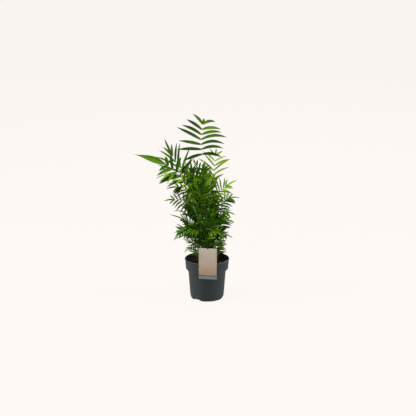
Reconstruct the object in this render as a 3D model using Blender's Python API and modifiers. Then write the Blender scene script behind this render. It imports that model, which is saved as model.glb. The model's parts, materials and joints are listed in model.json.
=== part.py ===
"""A parlour palm in its nursery pot: a clump of young palms in compost, with a plain card label on the rim.

Units are metres, +Z is up, and the origin is the middle of the pot's flat underside. The label hangs on the
front, which faces -Y. Azimuths are in degrees, from +X (right) towards +Y (back).
"""

import math
import random
from dataclasses import dataclass

import bmesh
import bpy
from mathutils import Matrix, Vector
from mathutils.bvhtree import BVHTree

UP = Vector((0, 0, 1))
SEAT_GAP = 0.0003

# Pot
POT_HEIGHT = 0.110
RIM_RADIUS = 0.0600
RIM_WALL = 0.0018
POT_WALL = 0.0014
BAND_FOOT = (0.0570, 0.0830)
NECK = (0.0508, 0.0750)
HEEL = (0.0455, 0.0080)
SOLE = (0.0428, 0.0)
FLOOR_THICKNESS = 0.0060
POT_SIDES = 36
RECESS_AZIMUTHS = (-128, -8, 112)
RECESS_SIZE = (0.020, 0.028, 0.0080)
SCREW_MERGE = 0.00005

# Compost
COMPOST_TOP = 0.0985

# Label
CARD_WIDTH = 0.048
CARD_HEIGHT = 0.085
CARD_FOOT = 0.070
CARD_THICKNESS = 0.0008
CARD_CORNER = 0.0016
CARD_TURN = -10
CARD_SHIFT = 0.0126
NOTCH_RADIUS = 0.0026
HOOK_WIDTH = 0.010
HOOK_REACH = 0.0038
HOOK_DROP = 0.0070
CARD_CLEARANCE = 0.004
CARD_VIEW_DEPTH = 0.080

# Stems
GOLDEN_ANGLE = 137.508
SEED = 5
STEM_COUNT = 9
STEM_FIRST_AZIMUTH = 20
STEM_SPACING = 0.0058
STEM_HEIGHT = 0.150
STEM_HEIGHT_STEP = -0.0055
STEM_HEIGHT_SPREAD = 0.006
STEM_LEAN = 0.006
STEM_LEAN_STEP = 0.0012
STEM_LEAN_CURVE = 1.7
STEM_LEAN_TURN = 25
STEM_FOOT_RADIUS = 0.0033
STEM_TIP_RADIUS = 0.0020
STEM_FLARE = 0.40
STEM_SHARES = (0.0, 0.05, 0.14, 0.45, 0.75, 1.0)

# Fronds: a rib's handles are shares of its length, and a leaflet's stations are shares of its length and its
# half width. A leaflet's foot takes the base share of its pitch on the rib.
RIB_HALF_WIDTH = 0.0012
RIB_END_HALF_WIDTH = 0.0007
RIB_THICKNESS = 0.0022
RIB_HANDLES = (0.42, 0.34)
SHEATH_HALF_WIDTH = 0.0026
STALK_STEPS = 4
BLADE_THICKNESS = 0.0011
BASE_SHARE = 0.46
SHORTEST_SHARE = 0.50
LONG_LEAFLET = 0.060
LONG_STATIONS = ((0.30, 1.0), (0.66, 0.84), (1.0, 0.0))
STATIONS = ((0.42, 1.0), (1.0, 0.0))
TURN_SPREAD = 4
SIZE_SPREAD = 0.07
SAG_SPREAD = 0.05
RIB_MARGIN = 0.0008
BLADE_MARGIN = 0.0004
GROUND_MARGIN = 0.003
RIM_MARGIN = 0.010


@dataclass
class Frond:
    """One frond, by its sizes in metres and its angles in degrees."""

    stem: int
    leaves: float
    tip: tuple
    rise: float = 80
    dive: float = 25
    swing: float = 0
    roll: float = 0
    bare: float = 0.38
    pairs: int = 7
    leaflet: float = 0.042
    width: float = 0.0055
    spread: tuple = (78, 44)
    lift: float = 10
    droop: float = 0.22
    uneven: float = 0
    terminal: float = 0.6


# The fronds whose outline stands out at the front, from the top down. The stem's number, the share of its
# height where the stalk leaves it, and the rib's tip come first.
NAMED_FRONDS = (
    # the tallest frond, and the thin pale one on the right below it
    Frond(0, 0.98, (-0.011, 0.028, 0.474), rise=90, dive=70, swing=-80, roll=-12, bare=0.60, leaflet=0.076,
          width=0.0084, spread=(88, 54), lift=3, droop=0.16, uneven=0.13, terminal=0.20),
    Frond(3, 0.96, (0.023, 0.040, 0.386), rise=84, dive=80, roll=22, bare=0.55, pairs=6, leaflet=0.040,
          width=0.0040, spread=(60, 50), lift=4, droop=0.04, terminal=0.4),
    # the two that reach out to the upper left, the first one ending in a broad leaflet
    Frond(4, 0.90, (-0.106, -0.010, 0.368), rise=66, dive=28, roll=-60, bare=0.52, pairs=6, leaflet=0.060,
          width=0.0096, spread=(80, 46), droop=0.20, terminal=1.60),
    Frond(6, 0.98, (-0.094, 0.034, 0.386), rise=78, dive=66, roll=-70, bare=0.52, pairs=6, leaflet=0.068,
          width=0.0060, spread=(58, 22), lift=0, droop=0.0, terminal=0.8),
    # the left side
    Frond(7, 0.95, (-0.104, -0.046, 0.350), rise=72, dive=4, roll=-30, leaflet=0.046, droop=0.42),
    Frond(6, 0.72, (-0.078, 0.020, 0.302), rise=72, dive=6, roll=-44, leaflet=0.044, droop=0.30),
    Frond(1, 0.56, (-0.088, -0.008, 0.274), rise=66, dive=6, roll=-40, leaflet=0.042, droop=0.26),
    Frond(6, 0.46, (-0.062, 0.012, 0.214), rise=62, dive=26, roll=-24, leaflet=0.040, droop=0.08,
          terminal=1.2),
    Frond(4, 0.40, (-0.068, -0.030, 0.190), rise=62, dive=-24, roll=-24, leaflet=0.036, droop=0.40),
    Frond(7, 0.20, (-0.046, -0.036, 0.150), rise=60, dive=-24, roll=-16, pairs=5, leaflet=0.028, droop=0.36),
    # the right side
    Frond(2, 0.95, (0.050, -0.018, 0.314), rise=78, dive=34, roll=54, leaflet=0.048, droop=0.10),
    Frond(8, 0.92, (0.060, 0.022, 0.272), rise=74, dive=6, roll=40, leaflet=0.042, droop=0.18),
    Frond(5, 0.72, (0.052, -0.012, 0.240), rise=70, dive=0, roll=36, leaflet=0.036, droop=0.24),
    Frond(8, 0.50, (0.056, 0.036, 0.206), rise=62, dive=-6, roll=20, leaflet=0.036),
    Frond(2, 0.44, (0.034, -0.026, 0.184), rise=66, dive=-12, roll=30, leaflet=0.032, droop=0.34),
)

# The fronds that fill the crown run in one series from the tallest, which stands up in the middle, to the
# lowest, which arches over. Each pair below holds a size of the first frond of the series and of the last.
FILL_COUNT = 20
FILL_FIRST_AZIMUTH = 60
FILL_HEIGHT = (0.374, 0.180)
FILL_REACH = (0.026, 0.066)
FILL_LEAN = (-0.040, -0.006)
FILL_LEAVES = (0.95, 0.26)
FILL_RISE = (84, 68)
FILL_DIVE = (62, 2)
FILL_LEAFLET = (0.050, 0.036)
FILL_WIDTH = (0.0070, 0.0058)
FILL_DROOP = (0.10, 0.32)
FILL_AZIMUTH_SPREAD = 35
FILL_REACH_SPREAD = (-0.008, 0.010)
FILL_HEIGHT_SPREAD = 0.012
FILL_LEAVES_SPREAD = (-0.10, 0.02)
FILL_ROLL = 30
FILL_TRIES = 200
FILL_SEED = 17

# The seedlings around the stems, each a small plant of up to three fronds: two arch out and one stands up.
SEEDLING_COUNT = 13
SEEDLING_SPACING = 0.0062
SEEDLING_FIRST_AZIMUTH = 75
SEEDLING_CORNER = 2 * SHEATH_HALF_WIDTH / math.sqrt(3)
SEEDLING_LEAFLET = 0.033
SEEDLING_WIDTH = 0.0054
SEEDLING_PAIRS = 5
SEEDLING_LEAN = -0.015
SEEDLING_AZIMUTH_SPREAD = 25
SEEDLING_TRIES = 120
SEEDLING_SEED = 117
OUTER_REACH = (0.014, 0.038)
OUTER_HEIGHT = (0.040, 0.104)
OUTER_DIVE = 25
INNER_REACH = (0.004, 0.014)
INNER_HEIGHT = (0.060, 0.125)
SHEATH_SHARE = 0.10

# How a leaflet that meets something is changed, in turn: its size, and how much further it hangs.
LEAFLET_TRIES = (
    (1, 0), (1, 0.14), (1, -0.14), (0.85, 0.26), (0.85, -0.26), (0.65, 0), (0.65, 0.20), (0.65, -0.20),
)


def material(name, colour, roughness):
    """A Principled material with one base colour."""
    made = bpy.data.materials.new(name)
    made.use_nodes = True
    shader = made.node_tree.nodes["Principled BSDF"]
    shader.inputs["Base Color"].default_value = (*colour, 1)
    shader.inputs["Roughness"].default_value = roughness
    made.diffuse_color = (*colour, 1)
    return made


def collection(name):
    made = bpy.data.collections.new(name)
    bpy.context.scene.collection.children.link(made)
    return made


def add_object(name, data, home, finish=None):
    made = bpy.data.objects.new(name, data)
    home.objects.link(made)
    if finish:
        data.materials.append(finish)
    return made


def around(azimuth, reach, height=0.0):
    """The point at this azimuth and height, this far from the pot's axis."""
    turn = math.radians(azimuth)
    return Vector((reach * math.cos(turn), reach * math.sin(turn), height))


def between(pair, share):
    """The size at this share of the way from the first of the pair to the second."""
    return pair[0] + (pair[1] - pair[0]) * share


def turned(name, profile, home, finish):
    """A closed turned solid. Its profile runs from the axis at the top, down the outer side, to the axis."""
    mesh = bpy.data.meshes.new(name)
    mesh.from_pydata([(radius, 0, height) for radius, height in profile],
                     [(i, i + 1) for i in range(len(profile) - 1)], [])
    made = add_object(name, mesh, home, finish)
    screw = made.modifiers.new("turn", "SCREW")
    screw.steps = POT_SIDES
    screw.render_steps = POT_SIDES
    screw.use_merge_vertices = True
    screw.merge_threshold = SCREW_MERGE
    screw.use_smooth_shade = False
    return made


def inner_wall():
    """The pot's inner profile, from the rim down to the floor."""
    return [
        (RIM_RADIUS - RIM_WALL, POT_HEIGHT),
        (BAND_FOOT[0] - POT_WALL, BAND_FOOT[1]),
        (NECK[0] - POT_WALL, NECK[1]),
        (HEEL[0] - POT_WALL, HEEL[1]),
        (SOLE[0] - POT_WALL / 2, FLOOR_THICKNESS),
    ]


def pot(home, cutters):
    """The pot: a tapered wall under a wide rim band, on a thick sole with drainage recesses in its edge."""
    inside = [(0, FLOOR_THICKNESS)] + inner_wall()[::-1]
    outside = [(RIM_RADIUS, POT_HEIGHT), BAND_FOOT, NECK, HEEL, SOLE, (0, 0)]
    made = turned("pot", inside + outside, home, material("pot plastic", (0.075, 0.083, 0.086), 0.5))
    for azimuth in RECESS_AZIMUTHS:
        bpy.ops.mesh.primitive_cube_add(size=1)
        cutter = bpy.context.object
        cutter.name = f"recess_{azimuth % 360:03d}"
        cutter.scale = RECESS_SIZE
        cutter.location = around(azimuth, SOLE[0])
        cutter.rotation_euler.z = math.radians(azimuth)
        cutter.hide_render = True
        cutter.display_type = "WIRE"
        for owner in cutter.users_collection:
            owner.objects.unlink(cutter)
        cutters.objects.link(cutter)
    cut = made.modifiers.new("recesses", "BOOLEAN")
    cut.operand_type = "COLLECTION"
    cut.collection = cutters
    return made


def compost(home):
    """The compost fills the pot to below its rim, clear of the wall by the seat gap."""
    wall = inner_wall()
    share = (COMPOST_TOP - BAND_FOOT[1]) / (POT_HEIGHT - BAND_FOOT[1])
    brim = between((wall[1][0], wall[0][0]), share)
    side = [(brim, COMPOST_TOP)] + wall[1:-1]
    profile = [(radius - SEAT_GAP, height) for radius, height in side]
    foot = (wall[-1][0] - SEAT_GAP, FLOOR_THICKNESS + SEAT_GAP)
    profile = [(0, COMPOST_TOP)] + profile + [foot, (0, foot[1])]
    return turned("compost", profile, home, material("moist compost", (0.012, 0.008, 0.005), 0.95))


def card_outline():
    """The card from the front: a tall rectangle with round corners, and a notch in its top to hang it by."""
    right = CARD_WIDTH / 2 - CARD_CORNER
    top = CARD_HEIGHT - CARD_CORNER
    points = []
    for x, z, first in ((right, CARD_CORNER, -90), (right, top, 0)):
        for step in range(4):
            turn = math.radians(first + 30 * step)
            points.append((x + CARD_CORNER * math.cos(turn), z + CARD_CORNER * math.sin(turn)))
    for step in range(7):
        turn = math.radians(-30 * step)
        points.append((NOTCH_RADIUS * math.cos(turn), CARD_HEIGHT + NOTCH_RADIUS * math.sin(turn)))
    for x, z, first in ((-right, top, 90), (-right, CARD_CORNER, 180)):
        for step in range(4):
            turn = math.radians(first + 30 * step)
            points.append((x + CARD_CORNER * math.cos(turn), z + CARD_CORNER * math.sin(turn)))
    return points


def plate(name, outline, thickness, home):
    """A closed flat solid with this outline in its XY plane, as a mesh."""
    curve = bpy.data.curves.new(name, "CURVE")
    curve.dimensions = "2D"
    curve.fill_mode = "BOTH"
    curve.extrude = thickness / 2
    spline = curve.splines.new("POLY")
    spline.points.add(len(outline) - 1)
    for point, (x, y) in zip(spline.points, outline):
        point.co = (x, y, 0, 1)
    spline.use_cyclic_u = True
    flat = add_object(name, curve, home)
    bpy.context.view_layer.update()
    mesh = bpy.data.meshes.new_from_object(flat.evaluated_get(bpy.context.evaluated_depsgraph_get()))
    bpy.data.objects.remove(flat)
    shape = bmesh.new()
    shape.from_mesh(mesh)
    bmesh.ops.remove_doubles(shape, verts=shape.verts, dist=SCREW_MERGE)
    shape.to_mesh(mesh)
    shape.free()
    return add_object(name, mesh, home)


def card_place():
    """The card's own frame: X across it, Y up it, Z out of its face, and its foot's middle at the origin."""
    turn = Matrix.Rotation(math.radians(CARD_TURN), 4, "Z")
    stand_off = RIM_RADIUS + SEAT_GAP + CARD_THICKNESS / 2
    place = Matrix.Translation((CARD_SHIFT, -stand_off, CARD_FOOT))
    return turn @ place @ Matrix.Rotation(math.radians(90), 4, "X")


def label(home, cutters):
    """A card that hangs outside the rim, with a tongue at its back that hooks over the rim."""
    finish = material("card", (0.42, 0.34, 0.27), 0.8)
    card = plate("label", card_outline(), CARD_THICKNESS, home)
    card.data.materials.append(finish)
    card.matrix_world = card_place()
    seat = POT_HEIGHT + SEAT_GAP - CARD_FOOT
    back = -HOOK_REACH - CARD_THICKNESS
    tongue = [
        (0, seat), (0, seat + CARD_THICKNESS), (back, seat + CARD_THICKNESS), (back, seat - HOOK_DROP),
        (back + CARD_THICKNESS, seat - HOOK_DROP), (back + CARD_THICKNESS, seat),
    ]
    hook = plate("hook", tongue, HOOK_WIDTH, cutters)
    middle = Matrix.Translation((-CARD_SHIFT, 0, 0))
    across = Matrix(((0, 0, 1, 0), (0, 1, 0, 0), (1, 0, 0, 0), (0, 0, 0, 1)))
    hook.matrix_world = card_place() @ middle @ across
    hook.data.flip_normals()
    hook.hide_render = True
    hook.display_type = "WIRE"
    join = card.modifiers.new("hook", "BOOLEAN")
    join.operation = "UNION"
    join.object = hook
    return card


@dataclass
class Stem:
    """A slender upright stem: its foot, its height, and how far and which way its tip leans."""

    foot: Vector
    height: float
    lean: float
    azimuth: float

    def point(self, share):
        lean = around(self.azimuth, self.lean * share ** STEM_LEAN_CURVE)
        return self.foot + UP * (self.height * share) + lean

    def radius(self, share):
        taper = between((STEM_FOOT_RADIUS, STEM_TIP_RADIUS), share)
        return taper * (1 + STEM_FLARE * max(0.0, 1 - share / STEM_SHARES[2]) ** 2)


def stems():
    """The stems stand in the compost like the seeds in a sunflower, the tallest in the middle."""
    rng = random.Random(SEED)
    found = []
    for number in range(STEM_COUNT):
        azimuth = GOLDEN_ANGLE * number + STEM_FIRST_AZIMUTH
        foot = around(azimuth, STEM_SPACING * math.sqrt(number + 0.3), COMPOST_TOP + SEAT_GAP)
        height = STEM_HEIGHT + STEM_HEIGHT_STEP * number
        height += rng.uniform(-STEM_HEIGHT_SPREAD, STEM_HEIGHT_SPREAD)
        lean = STEM_LEAN + STEM_LEAN_STEP * number
        found.append(Stem(foot, height, lean, azimuth + rng.uniform(-STEM_LEAN_TURN, STEM_LEAN_TURN)))
    return found


def stem_object(name, stem, home, finish):
    """A stem as a bevelled curve with a flat foot."""
    curve = bpy.data.curves.new(name, "CURVE")
    curve.dimensions = "3D"
    curve.bevel_depth = STEM_FOOT_RADIUS
    curve.bevel_resolution = 2
    curve.use_fill_caps = True
    spline = curve.splines.new("POLY")
    spline.points.add(len(STEM_SHARES) - 1)
    for point, share in zip(spline.points, STEM_SHARES):
        point.co = (*stem.point(share), 1)
        point.radius = stem.radius(share) / STEM_FOOT_RADIUS
    return add_object(name, curve, home, finish)


@dataclass
class Section:
    """A cross-section of a strip: its middle, the directions across it and out of its face, and its half."""

    middle: Vector
    across: Vector
    normal: Vector
    half: float

    def ends(self):
        return self.middle - self.across * self.half, self.middle + self.across * self.half


def swollen(sections, thickness, margin):
    """The space that a strip keeps to itself: the strip with its thickness, and the margin on all sides."""
    points = []
    last = len(sections) - 1
    for number, section in enumerate(sections):
        along = section.normal.cross(section.across) * (margin * ((number == last) - (number == 0)))
        wide = section.across * (section.half + margin)
        deep = section.normal * (thickness / 2 + margin)
        middle = section.middle - along
        points += [middle - wide - deep, middle + wide - deep, middle + wide + deep, middle - wide + deep]
    faces = [(0, 1, 2, 3), tuple(4 * last + i for i in range(4))]
    for number in range(last):
        for side in range(4):
            near = 4 * number + side
            far = 4 * number + (side + 1) % 4
            faces.append((near, far, far + 4, near + 4))
    return points, faces


class Room:
    """What is taken already: a list of spaces, each with the name of what fills it."""

    def __init__(self):
        self.taken = []

    def wrap(self, points, faces):
        low = tuple(min(point[axis] for point in points) for axis in range(3))
        high = tuple(max(point[axis] for point in points) for axis in range(3))
        return BVHTree.FromPolygons(points, faces), low, high

    def is_free(self, space, apart_from=()):
        tree, low, high = space
        for name, (other, other_low, other_high) in self.taken:
            if name in apart_from:
                continue
            if any(low[axis] > other_high[axis] or other_low[axis] > high[axis] for axis in range(3)):
                continue
            if tree.overlap(other):
                return False
        return True

    def take(self, name, space):
        self.taken.append((name, space))


class Rib:
    """A frond's rib: a curve that starts steeply at its foot and arches over to its tip."""

    def __init__(self, frond, foot, rng, sheath=RIB_HALF_WIDTH):
        self.frond = frond
        self.sheath = sheath
        self.varied = [[rng.uniform(-1, 1) for _ in range(3)] for _ in range(2 * frond.pairs + 1)]
        tip = Vector(frond.tip)
        level = Vector((tip.x - foot.x, tip.y - foot.y, 0))
        outward = level.normalized()
        length = (tip - foot).length
        rise = math.radians(frond.rise)
        dive = math.radians(frond.dive)
        start = outward * math.cos(rise) + UP * math.sin(rise)
        inward = Matrix.Rotation(math.radians(frond.swing), 3, "Z") @ outward
        end = inward * math.cos(dive) + UP * math.sin(dive)
        first, last = RIB_HANDLES
        self.controls = (foot, foot + start * (first * length), tip - end * (last * length), tip)
        self.side = UP.cross(outward)

    def point(self, share):
        rest = 1 - share
        first, second, third, fourth = self.controls
        return (first * rest ** 3 + second * (3 * rest ** 2 * share)
                + third * (3 * rest * share ** 2) + fourth * share ** 3)

    def direction(self, share):
        rest = 1 - share
        first, second, third, fourth = self.controls
        slope = ((second - first) * rest ** 2 + (third - second) * (2 * rest * share)
                 + (fourth - third) * share ** 2)
        return slope.normalized()

    def section(self, share):
        """The rib's cross-section, with its blade rolled about it the more the nearer it is to the tip."""
        along = self.direction(share)
        roll = math.radians(self.frond.roll) * min(1.0, share / max(self.frond.bare, 0.1))
        across = Matrix.Rotation(roll, 3, along) @ self.side
        across = (across - along * across.dot(along)).normalized()
        width = between((RIB_HALF_WIDTH, RIB_END_HALF_WIDTH), share)
        if share == 0:
            width = self.sheath
        return Section(self.point(share), across, along.cross(across), width)

    def shares(self):
        """Where the cross-sections lie: along the bare stalk, then at both ends of each leaflet's foot."""
        bare = self.frond.bare
        pitch = (1 - bare) / (self.frond.pairs - 1 + BASE_SHARE)
        found = [bare * step / STALK_STEPS for step in range(STALK_STEPS)]
        for pair in range(self.frond.pairs):
            found += [bare + pitch * pair, bare + pitch * (pair + BASE_SHARE)]
        return found


def leaflet(rib, pair, side, size=1.0, sag=0.0):
    """One leaflet's sections, from its foot on the rib to its tip. Side is 1 or -1, or 0 for the end one."""
    frond = rib.frond
    shares = rib.shares()
    share = pair / (frond.pairs - 1)
    bell = math.sin(math.pi * (0.15 + 0.85 * share))
    turn, stretch, fall = rib.varied[2 * pair + (side > 0)] if side else rib.varied[-1]
    sag += frond.droop - frond.uneven * side + SAG_SPREAD * fall
    size *= 1 + SIZE_SPREAD * stretch
    if side:
        start = rib.section(shares[STALK_STEPS + 2 * pair])
        end = rib.section(shares[STALK_STEPS + 2 * pair + 1])
        root = rib.section((shares[STALK_STEPS + 2 * pair] + shares[STALK_STEPS + 2 * pair + 1]) / 2)
        foot = (start.middle + end.middle) / 2 + root.across * (side * root.half)
        angle = math.radians(between(frond.spread, share) + TURN_SPREAD * turn)
        length = frond.leaflet * (SHORTEST_SHARE + (1 - SHORTEST_SHARE) * bell) * size
        base_half = (end.middle - start.middle).length / 2
    else:
        root = rib.section(1.0)
        foot = root.middle
        angle = 0.0
        length = frond.leaflet * frond.terminal * size
        base_half = root.half
    along = root.normal.cross(root.across) * -1
    heading = along * math.cos(angle) + root.across * (side * math.sin(angle))
    lift = math.radians(frond.lift * abs(side))
    heading = heading * math.cos(lift) + root.normal * math.sin(lift)
    across = along if side else root.across
    across = (across - heading * across.dot(heading)).normalized()
    stations = LONG_STATIONS if frond.leaflet >= LONG_LEAFLET else STATIONS
    halves = [(0.0, base_half)] + [(reach, frond.width / 2 * broad) for reach, broad in stations]
    found = []
    for reach, half in halves:
        middle = foot + (heading * reach - UP * (sag * reach * reach)) * length
        path = (heading - UP * (2 * sag * reach)).normalized()
        broad = (across - path * across.dot(path)).normalized()
        normal = path.cross(broad) * (-side if side else -1)
        found.append(Section(middle, broad, normal, half))
    return found


def above_ground(sections):
    """Whether a strip stays above the compost and the pot's rim."""
    for section in sections:
        point = section.middle
        floor = COMPOST_TOP if math.hypot(point.x, point.y) < RIM_RADIUS - RIM_MARGIN else POT_HEIGHT
        if point.z < floor + GROUND_MARGIN:
            return False
    return True


class Blade:
    """A frond as one open sheet: a strip along the rib, and a strip for each leaflet that finds room."""

    def __init__(self):
        self.points = []
        self.faces = []
        self.rib_points = []
        self.feet = {}

    def add_point(self, point, on_rib=False):
        self.points.append(point)
        if on_rib:
            self.rib_points.append(len(self.points) - 1)
        return len(self.points) - 1

    def add_rib(self, rib, key=0, first=None):
        """The strip along the rib. First holds the two points it starts from, where it shares them."""
        rows = []
        for number, share in enumerate(rib.shares()):
            if number == 0 and first:
                rows.append(first)
                continue
            low, high = rib.section(share).ends()
            rows.append((self.add_point(low, True), self.add_point(high, True)))
        for (low, high), (next_low, next_high) in zip(rows, rows[1:]):
            self.faces.append((high, low, next_low, next_high))
        self.feet[key] = rows

    def add_leaflet(self, sections, pair, side, key=0):
        rows = self.feet[key]
        near = rows[STALK_STEPS + 2 * pair]
        far = rows[STALK_STEPS + 2 * pair + 1]
        if side > 0:
            row = (near[1], far[1])
        elif side < 0:
            row = (near[0], far[0])
        else:
            row = rows[-1]
        for section in sections[1:]:
            low, high = section.ends()
            face = (row[0], row[1], self.add_point(low))
            if section.half:
                face = (row[0], row[1], self.add_point(high), face[2])
            self.faces.append(face if side > 0 else face[::-1])
            row = (face[-1], face[2])

    def build(self, name, home, finish):
        mesh = bpy.data.meshes.new(name)
        mesh.from_pydata(self.points, [], self.faces)
        made = add_object(name, mesh, home, finish)
        group = made.vertex_groups.new(name="rib")
        group.add(self.rib_points, 1.0, "REPLACE")
        solid = made.modifiers.new("thickness", "SOLIDIFY")
        solid.thickness = RIB_THICKNESS
        solid.offset = 0
        solid.vertex_group = group.name
        solid.thickness_vertex_group = BLADE_THICKNESS / RIB_THICKNESS
        return made


def stalk_foot(stem, frond):
    """Where a stalk starts: beside its stem, on the side it leaves for, clear of it by the seat gap."""
    centre = stem.point(frond.leaves)
    tip = Vector(frond.tip)
    outward = Vector((tip.x - centre.x, tip.y - centre.y, 0)).normalized()
    return centre + outward * (stem.radius(frond.leaves) + SEAT_GAP + RIB_THICKNESS / 2)


def rib_space(room, rib, start=0.0):
    shares = [start] + [share for share in rib.shares() if share > start]
    return room.wrap(*swollen([rib.section(share) for share in shares], RIB_THICKNESS, RIB_MARGIN))


def place_named(room, all_stems):
    """The ribs of the named fronds, which stand where their sizes say."""
    rng = random.Random(SEED)
    ribs = []
    for number, frond in enumerate(NAMED_FRONDS, 1):
        rib = Rib(frond, stalk_foot(all_stems[frond.stem], frond), rng)
        room.take(f"frond {number}", rib_space(room, rib))
        ribs.append(rib)
    return ribs


def fill_frond(number, rng):
    """One try at a filling frond, turned on from the last one by the golden angle."""
    share = number / (FILL_COUNT - 1)
    azimuth = FILL_FIRST_AZIMUTH + GOLDEN_ANGLE * number
    azimuth += rng.uniform(-FILL_AZIMUTH_SPREAD, FILL_AZIMUTH_SPREAD)
    reach = between(FILL_REACH, share) + rng.uniform(*FILL_REACH_SPREAD)
    height = between(FILL_HEIGHT, share) + rng.uniform(-FILL_HEIGHT_SPREAD, FILL_HEIGHT_SPREAD)
    tip = around(azimuth, reach, height)
    tip.x += between(FILL_LEAN, share)
    return Frond(
        stem=rng.randrange(STEM_COUNT),
        leaves=between(FILL_LEAVES, share) + rng.uniform(*FILL_LEAVES_SPREAD),
        tip=tuple(tip),
        rise=between(FILL_RISE, share),
        dive=between(FILL_DIVE, share),
        roll=rng.uniform(-FILL_ROLL, FILL_ROLL),
        leaflet=between(FILL_LEAFLET, share),
        width=between(FILL_WIDTH, share),
        droop=between(FILL_DROOP, share),
    )


def place_fill(room, all_stems, first):
    """The ribs of the fronds that fill the crown on every side, each tried until it finds room."""
    rng = random.Random(FILL_SEED)
    ribs = []
    for number in range(FILL_COUNT):
        for _ in range(FILL_TRIES):
            frond = fill_frond(number, rng)
            rib = Rib(frond, stalk_foot(all_stems[frond.stem], frond), rng)
            space = rib_space(room, rib)
            if room.is_free(space, apart_from=(f"stem {frond.stem}",)):
                ribs.append(rib)
                room.take(f"frond {first + len(ribs)}", space)
                break
    return ribs


def seedling_rib(room, name, middle, heading, outward, rng):
    """A seedling's rib, where it finds room: an outward one arches over, and the inner one stands up."""
    foot = middle + around(heading, SEEDLING_CORNER / 2)
    for _ in range(SEEDLING_TRIES):
        toward = heading + rng.uniform(-SEEDLING_AZIMUTH_SPREAD, SEEDLING_AZIMUTH_SPREAD)
        if outward:
            tip = middle + around(toward, rng.uniform(*OUTER_REACH), rng.uniform(*OUTER_HEIGHT))
            shape = {"rise": 70, "dive": rng.uniform(-OUTER_DIVE, OUTER_DIVE), "bare": 0.36, "droop": 0.26}
        else:
            tip = middle + around(toward, rng.uniform(*INNER_REACH), rng.uniform(*INNER_HEIGHT))
            shape = {"rise": 84, "dive": 70, "bare": 0.40, "droop": 0.12}
        tip.x += SEEDLING_LEAN
        frond = Frond(-1, 0.0, tuple(tip), pairs=SEEDLING_PAIRS, leaflet=SEEDLING_LEAFLET,
                      width=SEEDLING_WIDTH, **shape)
        rib = Rib(frond, foot, rng, sheath=SHEATH_HALF_WIDTH)
        space = rib_space(room, rib, SHEATH_SHARE)
        if room.is_free(space):
            room.take(name, space)
            return rib
    return None


@dataclass
class Seedling:
    """A small plant: the middle of its three-sided foot, the way that is turned, and a rib for each side."""

    middle: Vector
    azimuth: float
    ribs: dict

    def corner(self, number):
        return self.middle + around(self.azimuth - 120 + 120 * number, SEEDLING_CORNER)


def place_seedlings(room):
    """The seedlings stand in a ring around the stems, like the outer seeds of the same sunflower."""
    rng = random.Random(SEEDLING_SEED)
    found = []
    for number in range(1, SEEDLING_COUNT + 1):
        azimuth = SEEDLING_FIRST_AZIMUTH + GOLDEN_ANGLE * number
        distance = SEEDLING_SPACING * math.sqrt(number + STEM_COUNT)
        middle = around(azimuth, distance, COMPOST_TOP + SEAT_GAP + RIB_THICKNESS / 2)
        ribs = {}
        for side, turn in enumerate((-60, 60, 180)):
            rib = seedling_rib(room, f"seedling {number}", middle, azimuth + turn, turn != 180, rng)
            if rib:
                ribs[side] = rib
        found.append(Seedling(middle, azimuth, ribs))
    return found


def grow_leaflets(room, blade, name, rib, key=0):
    """Add the leaflets that find room, and skip the others."""
    places = [(pair, side) for pair in range(rib.frond.pairs) for side in (1, -1)]
    places.append((rib.frond.pairs - 1, 0))
    for pair, side in places:
        for size, sag in LEAFLET_TRIES:
            sections = leaflet(rib, pair, side, size, sag)
            if not above_ground(sections):
                continue
            space = room.wrap(*swollen(sections, BLADE_THICKNESS, BLADE_MARGIN))
            if room.is_free(space, apart_from=(name,)):
                blade.add_leaflet(sections, pair, side, key)
                room.take(name, space)
                break


def keep_clear(room, all_stems):
    """Take the room of the stems, the rim, the label and the open space in front of the label."""
    for number, stem in enumerate(all_stems):
        sections = [Section(stem.point(share), Vector((1, 0, 0)), Vector((0, 1, 0)), stem.radius(share))
                    for share in STEM_SHARES]
        points, faces = swollen(sections, 2 * STEM_FOOT_RADIUS, RIB_MARGIN)
        room.take(f"stem {number}", room.wrap(points, faces))
    place = card_place()
    low = (-CARD_WIDTH / 2 - CARD_CLEARANCE, -CARD_CLEARANCE / 2, -CARD_CLEARANCE)
    high = (CARD_WIDTH / 2 + CARD_CLEARANCE, CARD_HEIGHT + CARD_CLEARANCE, CARD_VIEW_DEPTH)
    corners = [place @ Vector((x, y, z)) for x in (low[0], high[0]) for y in (low[1], high[1])
               for z in (low[2], high[2])]
    faces = [(0, 1, 3, 2), (4, 5, 7, 6), (0, 1, 5, 4), (2, 3, 7, 6), (0, 2, 6, 4), (1, 3, 7, 5)]
    room.take("label", room.wrap(corners, faces))


def build_fronds(room, ribs, greens, home):
    for number, rib in enumerate(ribs, 1):
        blade = Blade()
        blade.add_rib(rib)
        grow_leaflets(room, blade, f"frond {number}", rib)
        blade.build(f"frond_{number:02d}", home, greens[number % len(greens)])


def build_seedlings(room, seedlings, greens, home):
    for number, seedling in enumerate(seedlings, 1):
        blade = Blade()
        corners = [blade.add_point(seedling.corner(corner), True) for corner in range(3)]
        blade.faces.append(tuple(corners))
        for side, rib in seedling.ribs.items():
            blade.add_rib(rib, side, first=(corners[side], corners[(side + 1) % 3]))
            grow_leaflets(room, blade, f"seedling {number}", rib, side)
        blade.build(f"seedling_{number:02d}", home, greens[number % len(greens)])


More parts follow.
